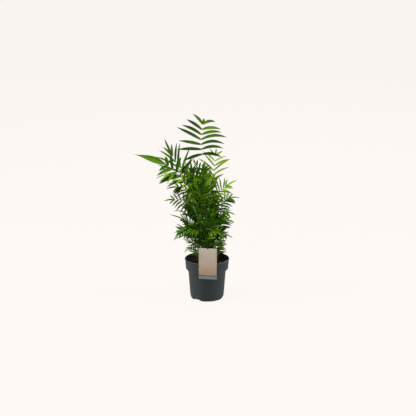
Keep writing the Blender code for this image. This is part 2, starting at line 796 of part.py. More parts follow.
def main():
    for old in list(bpy.data.objects):
        bpy.data.objects.remove(old)
    home = collection("parlour palm")
    pot(home, collection("pot cutters"))
    compost(home)
    label(home, collection("label tongue"))

    all_stems = stems()
    bark = material("stem", (0.16, 0.22, 0.05), 0.55)
    for number, stem in enumerate(all_stems, 1):
        stem_object(f"stem_{number:02d}", stem, home, bark)

    greens = (
        material("leaf mature", (0.030, 0.095, 0.008), 0.42),
        material("leaf mid", (0.050, 0.140, 0.010), 0.42),
        material("leaf young", (0.110, 0.230, 0.018), 0.42),
    )
    room = Room()
    keep_clear(room, all_stems)
    ribs = place_named(room, all_stems)
    ribs += place_fill(room, all_stems, len(ribs))
    seedlings = place_seedlings(room)
    build_fronds(room, ribs, greens, home)
    build_seedlings(room, seedlings, greens, home)
    print(len(all_stems), "stems,", len(ribs), "fronds,", len(seedlings), "seedlings")


main()
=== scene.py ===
# %% [markdown]
# # A parlour palm in its nursery pot
#
# This lesson dresses a parlour palm: a clump of young palms that were sown together in one pot, with a
# card label hooked on the rim. The solids of the part come first, as a fixed frame. Every piece below is
# then made in the same metres, +Z up, with the middle of the pot's underside at the origin, and stands
# for the solids that it covers.

# %% Load the fixed frame
import json
import math
import random
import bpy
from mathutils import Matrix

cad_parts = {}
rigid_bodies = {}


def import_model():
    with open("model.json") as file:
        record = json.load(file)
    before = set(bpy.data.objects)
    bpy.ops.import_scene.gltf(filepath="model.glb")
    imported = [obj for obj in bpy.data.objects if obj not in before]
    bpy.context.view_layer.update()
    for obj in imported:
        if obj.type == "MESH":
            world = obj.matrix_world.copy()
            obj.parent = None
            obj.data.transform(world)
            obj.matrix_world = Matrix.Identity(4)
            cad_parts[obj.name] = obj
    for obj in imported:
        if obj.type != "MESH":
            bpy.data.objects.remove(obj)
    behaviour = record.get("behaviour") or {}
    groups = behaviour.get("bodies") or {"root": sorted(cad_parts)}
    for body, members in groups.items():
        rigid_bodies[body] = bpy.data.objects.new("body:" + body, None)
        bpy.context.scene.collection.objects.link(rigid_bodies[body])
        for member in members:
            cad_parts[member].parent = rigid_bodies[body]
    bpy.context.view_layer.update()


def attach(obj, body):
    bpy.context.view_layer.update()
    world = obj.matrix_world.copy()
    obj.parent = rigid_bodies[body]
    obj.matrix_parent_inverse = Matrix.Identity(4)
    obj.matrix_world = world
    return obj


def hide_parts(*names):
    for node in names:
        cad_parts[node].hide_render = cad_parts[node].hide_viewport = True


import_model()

from copy import copy
from dataclasses import dataclass, replace
from functools import partial

import bmesh
import bpy
from mathutils import Matrix, Vector, noise
from mathutils.bvhtree import BVHTree

UP = Vector((0, 0, 1))
BODY = "root"

# %% [markdown]
# ## Camera
#
# The photograph looks slightly down on the plant from about three metres, so its upright lines hardly
# lean together. A lens is given by how many pixels wide its focal length is. The camera could be tracked
# to an empty, but a direction turned into a rotation needs no second object.

# %% Camera
PHOTO_SIDE = 416
FOCAL_PIXELS = 1124
CAMERA_DISTANCE = 3.0
CAMERA_ELEVATION = 14.6
AIM = Vector((0.0026, 0, 0.2492))


def new_object(name, data):
    """An object of this data, linked to the scene."""
    made = bpy.data.objects.new(name, data)
    bpy.context.scene.collection.objects.link(made)
    return made


def looking(direction):
    """The rotation of a camera or a lamp that looks in this direction."""
    return direction.to_track_quat("-Z", "Y").to_euler()


def make_camera():
    lens = bpy.data.cameras.new("camera")
    lens.sensor_width = 36
    lens.lens = lens.sensor_width * FOCAL_PIXELS / PHOTO_SIDE
    lens.clip_end = 100
    camera = new_object("camera", lens)
    elevation = math.radians(CAMERA_ELEVATION)
    back = Vector((0, -math.cos(elevation), math.sin(elevation)))
    camera.location = AIM + back * CAMERA_DISTANCE
    camera.rotation_euler = looking(-back)
    bpy.context.scene.camera = camera
    return camera


print("camera lens:", round(make_camera().data.lens, 1), "mm")

# %% [markdown]
# ## Studio
#
# The plant stands in an even, pale studio. Two large lamps stand at its sides, so that the pot is lighter
# at its sides than in its middle. A third hangs above and gives the leaves their bright upper faces. Two
# weaker ones, in front and behind, and the plain background light only open the shadows.

# %% Studio
BACKGROUND = (0.98, 0.98, 1.0)
BACKGROUND_STRENGTH = 0.36
LAMPS = (
    # name, place, size and power
    ("left lamp", (-2.3, -0.5, 1.3), 1.3, 88),
    ("right lamp", (2.4, -0.4, 1.2), 1.3, 78),
    ("top lamp", (-0.3, -0.3, 2.9), 1.4, 86),
    ("front lamp", (-1.1, -2.6, 2.3), 1.2, 26),
    ("back lamp", (0.7, 2.7, 2.1), 1.4, 46),
)


def make_studio():
    scene = bpy.context.scene
    scene.view_settings.view_transform = "Standard"
    world = bpy.data.worlds.new("studio")
    world.use_nodes = True
    surround = world.node_tree.nodes["Background"]
    surround.inputs["Color"].default_value = (*BACKGROUND, 1)
    surround.inputs["Strength"].default_value = BACKGROUND_STRENGTH
    scene.world = world
    for name, place, size, power in LAMPS:
        light = bpy.data.lights.new(name, "AREA")
        light.size = size
        light.energy = power
        lamp = new_object(name, light)
        lamp.location = place
        lamp.rotation_euler = looking(AIM - Vector(place))


make_studio()
print("lamps:", len(LAMPS))

# %% [markdown]
# ## Shared effects for the materials
#
# Leaves, stems, plastic, card and compost all vary in tone over their surface, and all have a fine grain.
# These effects are node groups: each is built once, has named inputs, and is placed in every material
# with its own values. A group puts out a colour, a mask or a height, and the shader itself stays in the
# material.

# %% Helpers for node groups
def paint(red, green, blue):
    """A colour measured on a screen, from 0 to 255, as the linear colour that shaders use."""
    linear = []
    for level in (red, green, blue):
        level /= 255
        linear.append(level / 12.92 if level <= 0.04045 else ((level + 0.055) / 1.055) ** 2.4)
    return (*linear, 1)


def add(tree, kind, inputs=None, **settings):
    """A node of this kind, with its settings and its inputs, which are values or sockets to link."""
    node = tree.nodes.new("ShaderNode" + kind)
    for name, value in settings.items():
        setattr(node, name, value)
    for name, value in (inputs or {}).items():
        if isinstance(value, bpy.types.NodeSocket):
            tree.links.new(value, node.inputs[name])
        else:
            node.inputs[name].default_value = value
    return node


def math_node(tree, operation, *values):
    """The result of this operation on values or sockets."""
    return add(tree, "Math", dict(enumerate(values)), operation=operation).outputs[0]


def new_group(name, inputs, outputs):
    """An empty node group with these sockets: names and kinds, and for inputs their defaults too."""
    tree = bpy.data.node_groups.new(name, "ShaderNodeTree")
    for socket, kind, default in inputs:
        made = tree.interface.new_socket(name=socket, in_out="INPUT", socket_type="NodeSocket" + kind)
        made.default_value = default
    for socket, kind in outputs:
        tree.interface.new_socket(name=socket, in_out="OUTPUT", socket_type="NodeSocket" + kind)
    return tree, tree.nodes.new("NodeGroupInput").outputs, tree.nodes.new("NodeGroupOutput")


def place_group(tree, group, **values):
    """This group in a material, with its inputs named by the words of the values' names."""
    inputs = {name.replace("_", " "): value for name, value in values.items()}
    return add(tree, "Group", inputs, node_tree=group).outputs


print("group helpers ready")

# %% Helpers for values and colours
def coordinates(tree, kind="Object"):
    """Where a point lies: on the object, in metres, or on its map, where the kind is UV."""
    return add(tree, "TexCoord").outputs[kind]


def part_of(tree, vector, axis):
    """One coordinate of a point, or one part of a direction."""
    return add(tree, "SeparateXYZ", {"Vector": vector}).outputs[axis]


def noise_at(tree, place, scale, detail, roughness=0.5):
    """Noise there, from 0 to 1."""
    inputs = {"Vector": place, "Scale": scale, "Detail": detail, "Roughness": roughness}
    return add(tree, "TexNoise", inputs).outputs["Fac"]


def rising(tree, value, low, high):
    """A mask that goes from 0 to 1 as the value goes from low to high."""
    return add(tree, "MapRange", {"Value": value, "From Min": low, "From Max": high}).outputs[0]


def between_values(tree, mask, low, high):
    """A value that goes from low to high as the mask goes from 0 to 1."""
    return add(tree, "MapRange", {"Value": mask, "To Min": low, "To Max": high}).outputs[0]


def mix(tree, mask, first, second, way="MIX"):
    """The colour that goes from the first to the second as the mask goes from 0 to 1."""
    inputs = {"Factor": mask, "A": first, "B": second}
    return add(tree, "Mix", inputs, data_type="RGBA", blend_type=way).outputs["Result"]


def times(tree, first, second):
    return math_node(tree, "MULTIPLY", first, second)


print("value helpers ready")

# %% [markdown]
# ### Mottle
#
# Nothing that grows, and no moulded plastic either, has quite one colour. The mottle mixes two near tones
# by noise of two sizes: broad patches, and specks within them. It also gives the mask, which can drive
# the gloss.

# %% Mottle group
SPECK_WEIGHT = 0.4
MOTTLE_MIDDLE = 0.5 + 0.5 * SPECK_WEIGHT
MOTTLE_STEEPNESS = 3


def make_mottle():
    tree, given, out = new_group(
        "Mottle",
        (("Base", "Color", (0.5, 0.5, 0.5, 1)), ("Second", "Color", (0.4, 0.4, 0.4, 1)),
         ("Patch Scale", "Float", 40), ("Speck Scale", "Float", 400), ("Contrast", "Float", 1)),
        (("Color", "Color"), ("Mask", "Float")),
    )
    place = coordinates(tree)
    patches = noise_at(tree, place, given["Patch Scale"], 3)
    specks = noise_at(tree, place, given["Speck Scale"], 2)
    both = math_node(tree, "MULTIPLY_ADD", specks, SPECK_WEIGHT, patches)
    spread = times(tree, math_node(tree, "SUBTRACT", both, MOTTLE_MIDDLE), given["Contrast"])
    mask = math_node(tree, "ADD", times(tree, spread, MOTTLE_STEEPNESS), 0.5)
    mask = add(tree, "Clamp", {"Value": mask}).outputs[0]
    tree.links.new(mix(tree, mask, given["Base"], given["Second"]), out.inputs["Color"])
    tree.links.new(mask, out.inputs["Mask"])
    return tree


MOTTLE = make_mottle()
print("group:", MOTTLE.name)

# %% [markdown]
# ### Grain
#
# The grain is a height, for a Bump node: noise that may be stretched along one axis. Round grain makes
# pores and moulded matt plastic, and grain stretched upwards makes the fibres of a stem.

# %% Grain group
def make_grain():
    tree, given, out = new_group(
        "Grain",
        (("Scale", "Float", 500), ("Stretch", "Float", 1), ("Depth", "Float", 1)),
        (("Height", "Float"),),
    )
    shrink = add(tree, "CombineXYZ", {"X": 1.0, "Y": 1.0, "Z": given["Stretch"]}).outputs[0]
    stretched = add(tree, "VectorMath", {0: coordinates(tree), 1: shrink}, operation="MULTIPLY").outputs[0]
    grain = noise_at(tree, stretched, given["Scale"], 3)
    tree.links.new(times(tree, grain, given["Depth"]), out.inputs["Height"])
    return tree


GRAIN = make_grain()
print("group:", GRAIN.name)

# %% [markdown]
# ### Dust
#
# Compost dust and dried splashes settle on what faces up. The mask is how far a face looks up, broken by
# noise.

# %% Dust group
def make_dust():
    tree, given, out = new_group(
        "Dust", (("Amount", "Float", 0.5), ("Scale", "Float", 90)), (("Mask", "Float"),))
    spots = rising(tree, noise_at(tree, coordinates(tree), given["Scale"], 5, 0.7), 0.42, 0.68)
    facing = rising(tree, part_of(tree, add(tree, "NewGeometry").outputs["Normal"], "Z"), 0.15, 0.9)
    mask = times(tree, times(tree, spots, facing), given["Amount"])
    tree.links.new(add(tree, "Clamp", {"Value": mask}).outputs[0], out.inputs["Mask"])
    return tree


DUST = make_dust()
print("group:", DUST.name)

# %% [markdown]
# ### Leaf veins
#
# A palm leaflet has a midrib and many fine veins that run along it, side by side, from its foot to its
# tip. The map of each leaflet runs from 0 to 1 across and along it, so stripes across the map are veins
# along the leaflet.

# %% Leaf veins group
MIDRIB_HALF = 0.09
VEIN_DEPTH = 0.25


def make_veins():
    tree, given, out = new_group(
        "Leaf veins",
        (("Count", "Float", 9), ("Depth", "Float", 1)),
        (("Height", "Float"), ("Midrib", "Float")),
    )
    across = part_of(tree, coordinates(tree, "UV"), "X")
    turns = times(tree, times(tree, across, given["Count"]), math.tau)
    ripple = times(tree, math_node(tree, "COSINE", turns), VEIN_DEPTH)
    offset = math_node(tree, "ABSOLUTE", math_node(tree, "SUBTRACT", across, 0.5))
    midrib = rising(tree, offset, MIDRIB_HALF, 0.0)
    height = times(tree, math_node(tree, "SUBTRACT", ripple, midrib), given["Depth"])
    tree.links.new(height, out.inputs["Height"])
    tree.links.new(midrib, out.inputs["Midrib"])
    return tree


VEINS = make_veins()
print("group:", VEINS.name)

# %% [markdown]
# ## The finishes
#
# Each finish is one short function. A Principled shader gets its colour, roughness and normal from the
# groups, and what is the same all over, such as the specular level, is set on its own socket.

# %% A finish and its bump
def new_finish(name, specular):
    """A material, its node tree and its shader, with this specular level all over."""
    finish = bpy.data.materials.new(name)
    finish.use_nodes = True
    tree = finish.node_tree
    shader = tree.nodes["Principled BSDF"]
    shader.inputs["Specular IOR Level"].default_value = specular
    return finish, tree, shader


def feed(tree, shader, color=None, roughness=None, height=None, bump=0.0002):
    """Link a colour, a roughness and a height to the shader. The bump is that height's depth in metres."""
    if color:
        tree.links.new(color, shader.inputs["Base Color"])
    if roughness:
        tree.links.new(roughness, shader.inputs["Roughness"])
    if height:
        normal = add(tree, "Bump", {"Height": height, "Distance": bump, "Strength": 1.0}).outputs[0]
        tree.links.new(normal, shader.inputs["Normal"])


print("finish helpers ready")

# %% [markdown]
# ### Leaf finish
#
# The leaflets are satin, with a duller, slightly greyer underside, so the colour and the roughness both
# ask which face is seen. The tint differs from frond to frond, as young fronds are yellow-green and old
# ones deep green. Each tint is a finish with four plain tones, and every leaflet is dealt one of the tints
# when it grows.

# %% Leaf finish
MIDRIB_PALENESS = 0.55
UNDERSIDE_DULLNESS = 0.16


def leaf_finish(name, face, second, under, midrib):
    finish, tree, shader = new_finish(name, 0.06)
    tone = place_group(tree, MOTTLE, Base=face, Second=second, Patch_Scale=60, Speck_Scale=500,
                       Contrast=0.5)
    veins = place_group(tree, VEINS, Count=11, Depth=1.0)
    grain = place_group(tree, GRAIN, Scale=2400, Depth=0.08)
    ribbed = mix(tree, times(tree, veins["Midrib"], MIDRIB_PALENESS), tone["Color"], midrib)
    behind = add(tree, "NewGeometry").outputs["Backfacing"]
    gloss = between_values(tree, tone["Mask"], 0.40, 0.52)
    roughness = math_node(tree, "ADD", gloss, times(tree, behind, UNDERSIDE_DULLNESS))
    height = math_node(tree, "ADD", veins["Height"], grain["Height"])
    feed(tree, shader, mix(tree, behind, ribbed, under), roughness, height, bump=0.00015)
    return finish


LEAF_TINTS = (
    # name, face, second tone, underside and midrib, from the darkest to the palest
    ("deep", (18, 48, 1), (28, 60, 2), (24, 58, 5), (50, 84, 14)),
    ("mature", (34, 70, 1), (46, 82, 3), (38, 76, 8), (68, 102, 18)),
    ("mid", (52, 88, 1), (66, 102, 5), (50, 90, 12), (90, 122, 28)),
    ("fresh", (66, 102, 3), (82, 114, 10), (62, 102, 20), (106, 138, 42)),
    ("young", (98, 128, 8), (114, 140, 20), (92, 126, 30), (142, 162, 60)),
    ("pale", (136, 158, 56), (158, 172, 84), (148, 168, 88), (180, 190, 122)),
)
LEAF_FINISHES = [leaf_finish("leaf " + name, *(paint(*tone) for tone in tones))
                 for name, *tones in LEAF_TINTS]
print("leaf tints:", len(LEAF_FINISHES))

# %% [markdown]
# ### Rib, sheath and stem finishes
#
# The ribs of the four fronds at the top are pale, nearly white where the light catches them, and the
# others are green. A stem is green too, with fibres that run up it, and it goes brown towards the compost,
# where old sheaths dried. The greens of the other ribs, of the sheaths and of the stems are their own
# colour, darkened all over by painted shade for the shaded middle of the crown.

# %% Rib, sheath and stem finishes
STEM_BROWNING = (0.122, 0.098)
STEM_BROWNNESS = 0.85


def rib_finish(name, base, second):
    finish, tree, shader = new_finish(name, 0.2)
    tone = place_group(tree, MOTTLE, Base=base, Second=second, Patch_Scale=30, Speck_Scale=700,
                       Contrast=1.0)
    grain = place_group(tree, GRAIN, Scale=900, Stretch=0.12, Depth=0.5)
    feed(tree, shader, tone["Color"], between_values(tree, tone["Mask"], 0.42, 0.55), grain["Height"])
    return finish


def stem_finish():
    finish, tree, shader = new_finish("stem", 0.2)
    # The stem's greens are partly painted shade: they are darkened all over for the shaded middle of the
    # crown.
    tone = place_group(tree, MOTTLE, Base=paint(46, 68, 18), Second=paint(66, 84, 30), Patch_Scale=70,
                       Speck_Scale=800, Contrast=1.2)
    low = rising(tree, part_of(tree, coordinates(tree), "Z"), *STEM_BROWNING)
    aged = mix(tree, times(tree, low, STEM_BROWNNESS), tone["Color"], paint(52, 38, 22))
    grain = place_group(tree, GRAIN, Scale=1100, Stretch=0.1, Depth=1.0)
    feed(tree, shader, aged, between_values(tree, tone["Mask"], 0.5, 0.66), grain["Height"])
    return finish


RIB_PALE = rib_finish("rib pale", paint(186, 196, 150), paint(206, 208, 184))
# The green ribs and the sheaths are their own colour, darkened all over as painted shade for the crown's
# shaded middle.
RIB_GREEN = rib_finish("rib green", paint(56, 90, 16), paint(84, 114, 32))
SHEATH = rib_finish("sheath", paint(40, 50, 20), paint(58, 64, 30))
STEM = stem_finish()
print("finishes:", RIB_PALE.name, RIB_GREEN.name, SHEATH.name, STEM.name)

# %% [markdown]
# ### Pot plastic
#
# The nursery pot is thin moulded plastic in a cool grey, with a fine matt grain, soft broad reflections,
# faint scuffs, and a little compost dust below the rim and on every edge that faces up.

# %% Pot plastic
SCUFF_DULLNESS = 0.04


def pot_finish():
    finish, tree, shader = new_finish("pot plastic", 0.44)
    tone = place_group(tree, MOTTLE, Base=paint(34, 40, 42), Second=paint(38, 44, 46), Patch_Scale=14,
                       Speck_Scale=300, Contrast=0.5)
    dust = place_group(tree, DUST, Amount=0.5, Scale=160)
    dusty = mix(tree, dust["Mask"], tone["Color"], paint(84, 76, 66))
    waves = {"Vector": coordinates(tree), "Scale": 38, "Distortion": 22, "Detail": 4}
    scuffs = add(tree, "TexWave", waves, bands_direction="Z").outputs["Fac"]
    worn = times(tree, scuffs, SCUFF_DULLNESS)
    roughness = math_node(tree, "ADD", between_values(tree, tone["Mask"], 0.40, 0.50), worn)
    grain = place_group(tree, GRAIN, Scale=1500, Depth=0.35)
    feed(tree, shader, dusty, roughness, grain["Height"], bump=0.00012)
    return finish


POT_PLASTIC = pot_finish()
print("finish:", POT_PLASTIC.name)

# %% [markdown]
# ### Compost finishes
#
# Moist peat compost is nearly black in its hollows and dark brown on its crumbs, with some lighter,
# fibrous bits.

# %% Compost finishes
def compost_finish(name, base, second, bump):
    finish, tree, shader = new_finish(name, 0.12)
    tone = place_group(tree, MOTTLE, Base=base, Second=second, Patch_Scale=160, Speck_Scale=1500,
                       Contrast=1.6)
    grain = place_group(tree, GRAIN, Scale=1800, Depth=1.0)
    roughness = between_values(tree, tone["Mask"], 0.75, 0.95)
    feed(tree, shader, tone["Color"], roughness, grain["Height"], bump=bump)
    return finish


COMPOST = compost_finish("compost", paint(10, 7, 4), paint(26, 18, 12), 0.0008)
CRUMB = compost_finish("crumb", paint(18, 12, 8), paint(36, 26, 18), 0.0005)
CHIP = compost_finish("chip", paint(44, 32, 22), paint(70, 54, 38), 0.0003)
print("finishes:", COMPOST.name, CRUMB.name, CHIP.name)

# %% [markdown]
# ### Card
#
# The label is uncoated card, printed with plain tones only: warm grey at its top that warms to tan, a
# blue-green band at its foot with a thin dark line above it, and a thin line inside its edges. The print
# is mixed by where a point lies on the card, which its map gives: 0 to 1 across, and 0 to 1 from its foot
# to its top.

# %% Card finish
CARD_LINE_INSET = 0.05
CARD_LINE_WIDTH = 0.010
CARD_BAND_TOP = 0.102
CARD_STRIPE_TOP = 0.128
CARD_LINE_STRENGTH = 0.6
CARD_TONES = (
    # the share of the height, and the tone there
    (0.0, (150, 124, 102)),
    (0.16, (152, 126, 104)),
    (0.45, (162, 145, 130)),
    (1.0, (176, 165, 151)),
)


def within(tree, value, low, high, soft=0.002):
    """A mask that is 1 where the value lies between low and high."""
    above = rising(tree, value, low - soft, low + soft)
    below = rising(tree, value, high + soft, high - soft)
    return times(tree, above, below)


def card_ground(tree, up):
    """The plain tones of the card, from its foot to its top."""
    ramp = add(tree, "ValToRGB", {"Fac": up})
    while len(ramp.color_ramp.elements) < len(CARD_TONES):
        ramp.color_ramp.elements.new(0.5)
    for element, (at, tone) in zip(ramp.color_ramp.elements, CARD_TONES):
        element.position = at
        element.color = paint(*tone)
    return ramp.outputs["Color"]


def card_finish():
    finish, tree, shader = new_finish("card", 0.25)
    place = coordinates(tree, "UV")
    up = part_of(tree, place, "Y")
    off_centre = math_node(tree, "SUBTRACT", part_of(tree, place, "X"), 0.5)
    inward = math_node(tree, "SUBTRACT", 0.5, math_node(tree, "ABSOLUTE", off_centre))
    upper = within(tree, up, CARD_STRIPE_TOP, 1 - CARD_LINE_INSET * 0.6)
    lines = times(tree, within(tree, inward, CARD_LINE_INSET, CARD_LINE_INSET + CARD_LINE_WIDTH), upper)
    layers = (
        (times(tree, lines, CARD_LINE_STRENGTH), (112, 98, 84)),
        (within(tree, up, -1, CARD_BAND_TOP), (106, 117, 113)),
        (within(tree, up, CARD_BAND_TOP, CARD_STRIPE_TOP), (68, 76, 72)),
    )
    colour = card_ground(tree, up)
    for mask, tone in layers:
        colour = mix(tree, mask, colour, paint(*tone))
    faded = place_group(tree, MOTTLE, Base=(1, 1, 1, 1), Second=(0.90, 0.89, 0.87, 1), Patch_Scale=50,
                        Speck_Scale=900, Contrast=0.8)
    printed = mix(tree, 1.0, colour, faded["Color"], "MULTIPLY")
    fibres = place_group(tree, GRAIN, Scale=1400, Stretch=0.35, Depth=0.5)
    roughness = between_values(tree, faded["Mask"], 0.62, 0.75)
    feed(tree, shader, printed, roughness, fibres["Height"], bump=0.0001)
    return finish


CARD = card_finish()
print("finish:", CARD.name)

# %% [markdown]
# ## Meshes from rows of points
#
# Almost every piece here is a sheet or a tube: rows of points, each joined to the next by quads. Curves
# with a bevel could make the tubes, but thousands of small objects would be slow, and rows let one pile
# of points hold a whole kind of piece. A pile also keeps the map place of each point.

# %% A pile of rows
class Pile:
    """Points, faces and map places that are gathered for one joined mesh."""

    def __init__(self):
        self.points = []
        self.faces = []
        self.places = []

    def add_rows(self, rows, closed=False, caps=False):
        """Join these rows by quads. Closed rows make a tube, and caps close its two ends."""
        first = len(self.points)
        width = len(rows[0])
        for number, row in enumerate(rows):
            self.points.extend(row)
            along = number / max(1, len(rows) - 1)
            self.places.extend((i / (width - 1), along) for i in range(width))
        for number in range(len(rows) - 1):
            for i in range(width if closed else width - 1):
                low = first + number * width + i
                high = first + number * width + (i + 1) % width
                self.faces.append((low, high, high + width, low + width))
        if caps:
            last = first + (len(rows) - 1) * width
            self.faces.append(tuple(range(first + width - 1, first - 1, -1)))
            self.faces.append(tuple(range(last, last + width)))

    def build(self, name, finish, nodes=(), slot=None):
        """The pile as one smooth piece that rides on the body, and stands for these solids."""
        mesh = bpy.data.meshes.new(name)
        mesh.from_pydata(self.points, [], self.faces)
        layer = mesh.uv_layers.new(name="map")
        for corner in mesh.loops:
            layer.data[corner.index].uv = self.places[corner.vertex_index]
        mesh.shade_smooth()
        mesh.materials.append(finish)
        return add_piece(name, mesh, nodes)


def add_piece(name, mesh, nodes=()):
    piece = new_object(name, mesh)
    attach(piece, BODY)
    if nodes:
        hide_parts(*nodes)
    return piece


def around(azimuth, reach, height=0.0):
    """The point at this azimuth in degrees and this height, this far from the pot's axis."""
    turn = math.radians(azimuth)
    return Vector((reach * math.cos(turn), reach * math.sin(turn), height))


def between(pair, share):
    """The value at this share of the way from the first of the pair to the second."""
    return pair[0] + (pair[1] - pair[0]) * share


print("piles ready")

# %% [markdown]
# ## Pot
#
# The pot is turned: one profile, swept round its axis. Real nursery pots are vacuum formed or injection
# moulded, so every corner of the profile is rounded, the rim is rolled, and the wall has a few faint
# rings where the mould changes. The recesses in its foot are cut with a Boolean modifier, by blocks that
# stand where the solid's recesses are. Their ends slant here: they are a little wider at the foot, and
# narrower above it.

# %% Pot profile
POT_HEIGHT = 0.110
RIM_RADIUS = 0.0600
FLOOR_THICKNESS = 0.0060
POT_SIDES = 160
RECESS_AZIMUTHS = (-128, -8, 112)
RECESS_SIZE = (0.020, 0.034, 0.0080)
RECESS_TAPER = 0.45
RECESS_REACH = 0.0428
RECESS_ROUNDING = 0.0008
ON_AXIS = 0.00001
LARGEST_CUT = 0.45
POT_CORNERS = (
    # radius, height and the rounding there, from the inside of the floor to the middle of the underside
    (0.0000, FLOOR_THICKNESS, 0),
    (0.0421, FLOOR_THICKNESS, 0.0010),
    (0.0441, 0.0080, 0.0010),
    (0.0494, 0.0750, 0.0020),
    (0.0556, 0.0830, 0.0020),
    (0.0581, 0.1082, 0.0006),
    (0.0581, POT_HEIGHT, 0.0007),
    (RIM_RADIUS, POT_HEIGHT, 0.0008),
    (RIM_RADIUS, 0.1070, 0.0006),
    (0.0594, 0.1064, 0.0006),
    (0.0572, 0.0846, 0.0006),
    (0.0574, 0.0838, 0.0003),
    (0.0572, 0.0828, 0.0006),
    (0.0566, 0.0824, 0.0006),
    (0.0512, 0.0756, 0.0012),
    (0.0507, 0.0735, 0.0006),
    (0.0503, 0.0690, 0.0004),
    (0.0500, 0.0684, 0.0004),
    (0.0462, 0.0160, 0.0004),
    (0.0458, 0.0152, 0.0004),
    (0.0455, 0.0080, 0.0030),
    (0.0430, 0.0000, 0.0010),
    (0.0390, 0.0000, 0.0004),
    (0.0384, 0.0006, 0.0004),
    (0.0120, 0.0006, 0.0004),
    (0.0000, 0.0006, 0),
)


def rounded(corners, steps=4):
    """The profile through these corners, with each corner replaced by a small curve."""
    points = []
    for number, (radius, height, cut) in enumerate(corners):
        here = Vector((radius, height))
        if not cut:
            points.append(here)
            continue
        before = Vector(corners[number - 1][:2]) - here
        after = Vector(corners[number + 1][:2]) - here
        start = here + before.normalized() * min(cut, before.length * LARGEST_CUT)
        end = here + after.normalized() * min(cut, after.length * LARGEST_CUT)
        for step in range(steps + 1):
            share = step / steps
            points.append(start * (1 - share) ** 2 + here * (2 * share * (1 - share)) + end * share ** 2)
    return points


print("pot profile:", len(rounded(POT_CORNERS)), "points")

# %% Turn and cut the pot
def ring_at(reach, height, sides):
    """A level ring of points round the pot's axis."""
    return [around(360 * i / sides, reach, height) for i in range(sides)]


def recess_block():
    """A rounded block, narrower at its top, that cuts one recess."""
    block = bpy.data.meshes.new("recess")
    shape = bmesh.new()
    bmesh.ops.create_cube(shape, size=1)
    bmesh.ops.scale(shape, vec=RECESS_SIZE, verts=shape.verts)
    for vertex in shape.verts:
        if vertex.co.z > 0:
            vertex.co.y *= RECESS_TAPER
    bmesh.ops.bevel(shape, geom=shape.edges[:], offset=RECESS_ROUNDING, segments=2, affect="EDGES")
    shape.to_mesh(block)
    shape.free()
    return block


def make_pot():
    pile = Pile()
    rows = [ring_at(max(point.x, ON_AXIS), point.y, POT_SIDES) for point in rounded(POT_CORNERS)]
    pile.add_rows(rows, closed=True, caps=True)
    pot = pile.build("pot_shell", POT_PLASTIC, ["pot"], "pot_plastic")
    cutters = bpy.data.collections.new("recess blocks")
    for azimuth in RECESS_AZIMUTHS:
        cutter = bpy.data.objects.new("recess", recess_block())
        cutter.location = around(azimuth, RECESS_REACH)
        cutter.rotation_euler.z = math.radians(azimuth)
        cutters.objects.link(cutter)
    cut = pot.modifiers.new("recesses", "BOOLEAN")
    cut.operand_type = "COLLECTION"
    cut.collection = cutters
    depsgraph = bpy.context.evaluated_depsgraph_get()
    pot.data = bpy.data.meshes.new_from_object(pot.evaluated_get(depsgraph))
    pot.modifiers.clear()
    for cutter in list(cutters.objects):
        bpy.data.objects.remove(cutter)
    pot.data.set_sharp_from_angle(angle=math.radians(40))
    return pot


print("pot faces:", len(make_pot().data.polygons))

# %% [markdown]
# ## Compost
#
# The compost's surface is a disc of rings whose points are lifted by noise: broad humps from the potting,
# and fine grains. It climbs a little towards the wall, and a heap leans on the wall at the back right.
# Loose crumbs are small lumps strewn over it, and a few longer chips of bark or root lie between them.
# Particles could strew them, but only real meshes are kept.

# %% Compost surface
COMPOST_TOP = 0.0985
COMPOST_FOOT = 0.0063
COMPOST_RADIUS = 0.0569
COMPOST_RINGS = 34
COMPOST_SIDES = 110
COMPOST_MIDDLE = 0.0001
COMPOST_WALL = (
    # radius and height, down the inside of the pot's wall
    (0.0552, 0.0830),
    (0.0491, 0.0750),
    (0.0438, COMPOST_FOOT + 0.002),
    (0.0418, COMPOST_FOOT),
)
HUMP_SCALE = 45
HUMP_HEIGHT = 0.0016
GRAIN_SCALE = 320
GRAIN_HEIGHT = 0.0011
HEAP = Vector((0.0405, 0.0360, 0.0))
HEAP_RADIUS = 0.0085
HEAP_HEIGHT = 0.0135
CLIMB_START = 0.038
CLIMB_HEIGHT = 0.0070
CLIMB_CURVE = 1.6
CLIMB_SCALE = 70
CLIMB_UNEVENNESS = 0.5


def compost_height(x, y):
    """The height of the compost's surface there."""
    place = Vector((x, y, 0))
    humps = noise.noise(place * HUMP_SCALE) * HUMP_HEIGHT
    grains = noise.noise(place * GRAIN_SCALE + Vector((7, 0, 0))) * GRAIN_HEIGHT
    heap = HEAP_HEIGHT * math.exp(-((place - HEAP).length / HEAP_RADIUS) ** 2)
    climb = max(0.0, (place.length - CLIMB_START) / (COMPOST_RADIUS - CLIMB_START)) ** CLIMB_CURVE
    uneven = 1 + CLIMB_UNEVENNESS * noise.noise(place * CLIMB_SCALE + Vector((0, 9, 0)))
    return COMPOST_TOP + humps + grains + max(heap, CLIMB_HEIGHT * climb * uneven)


def make_compost():
    pile = Pile()
    rows = []
    for number in range(COMPOST_RINGS + 1):
        row = ring_at(max(COMPOST_MIDDLE, COMPOST_RADIUS * number / COMPOST_RINGS), 0.0, COMPOST_SIDES)
        for point in row:
            point.z = compost_height(point.x, point.y)
        rows.append(row)
    rows += [ring_at(reach, height, COMPOST_SIDES) for reach, height in COMPOST_WALL]
    pile.add_rows(rows, closed=True, caps=True)
    return pile.build("compost_surface", COMPOST, ["compost"], "compost")


print("compost faces:", len(make_compost().data.polygons))

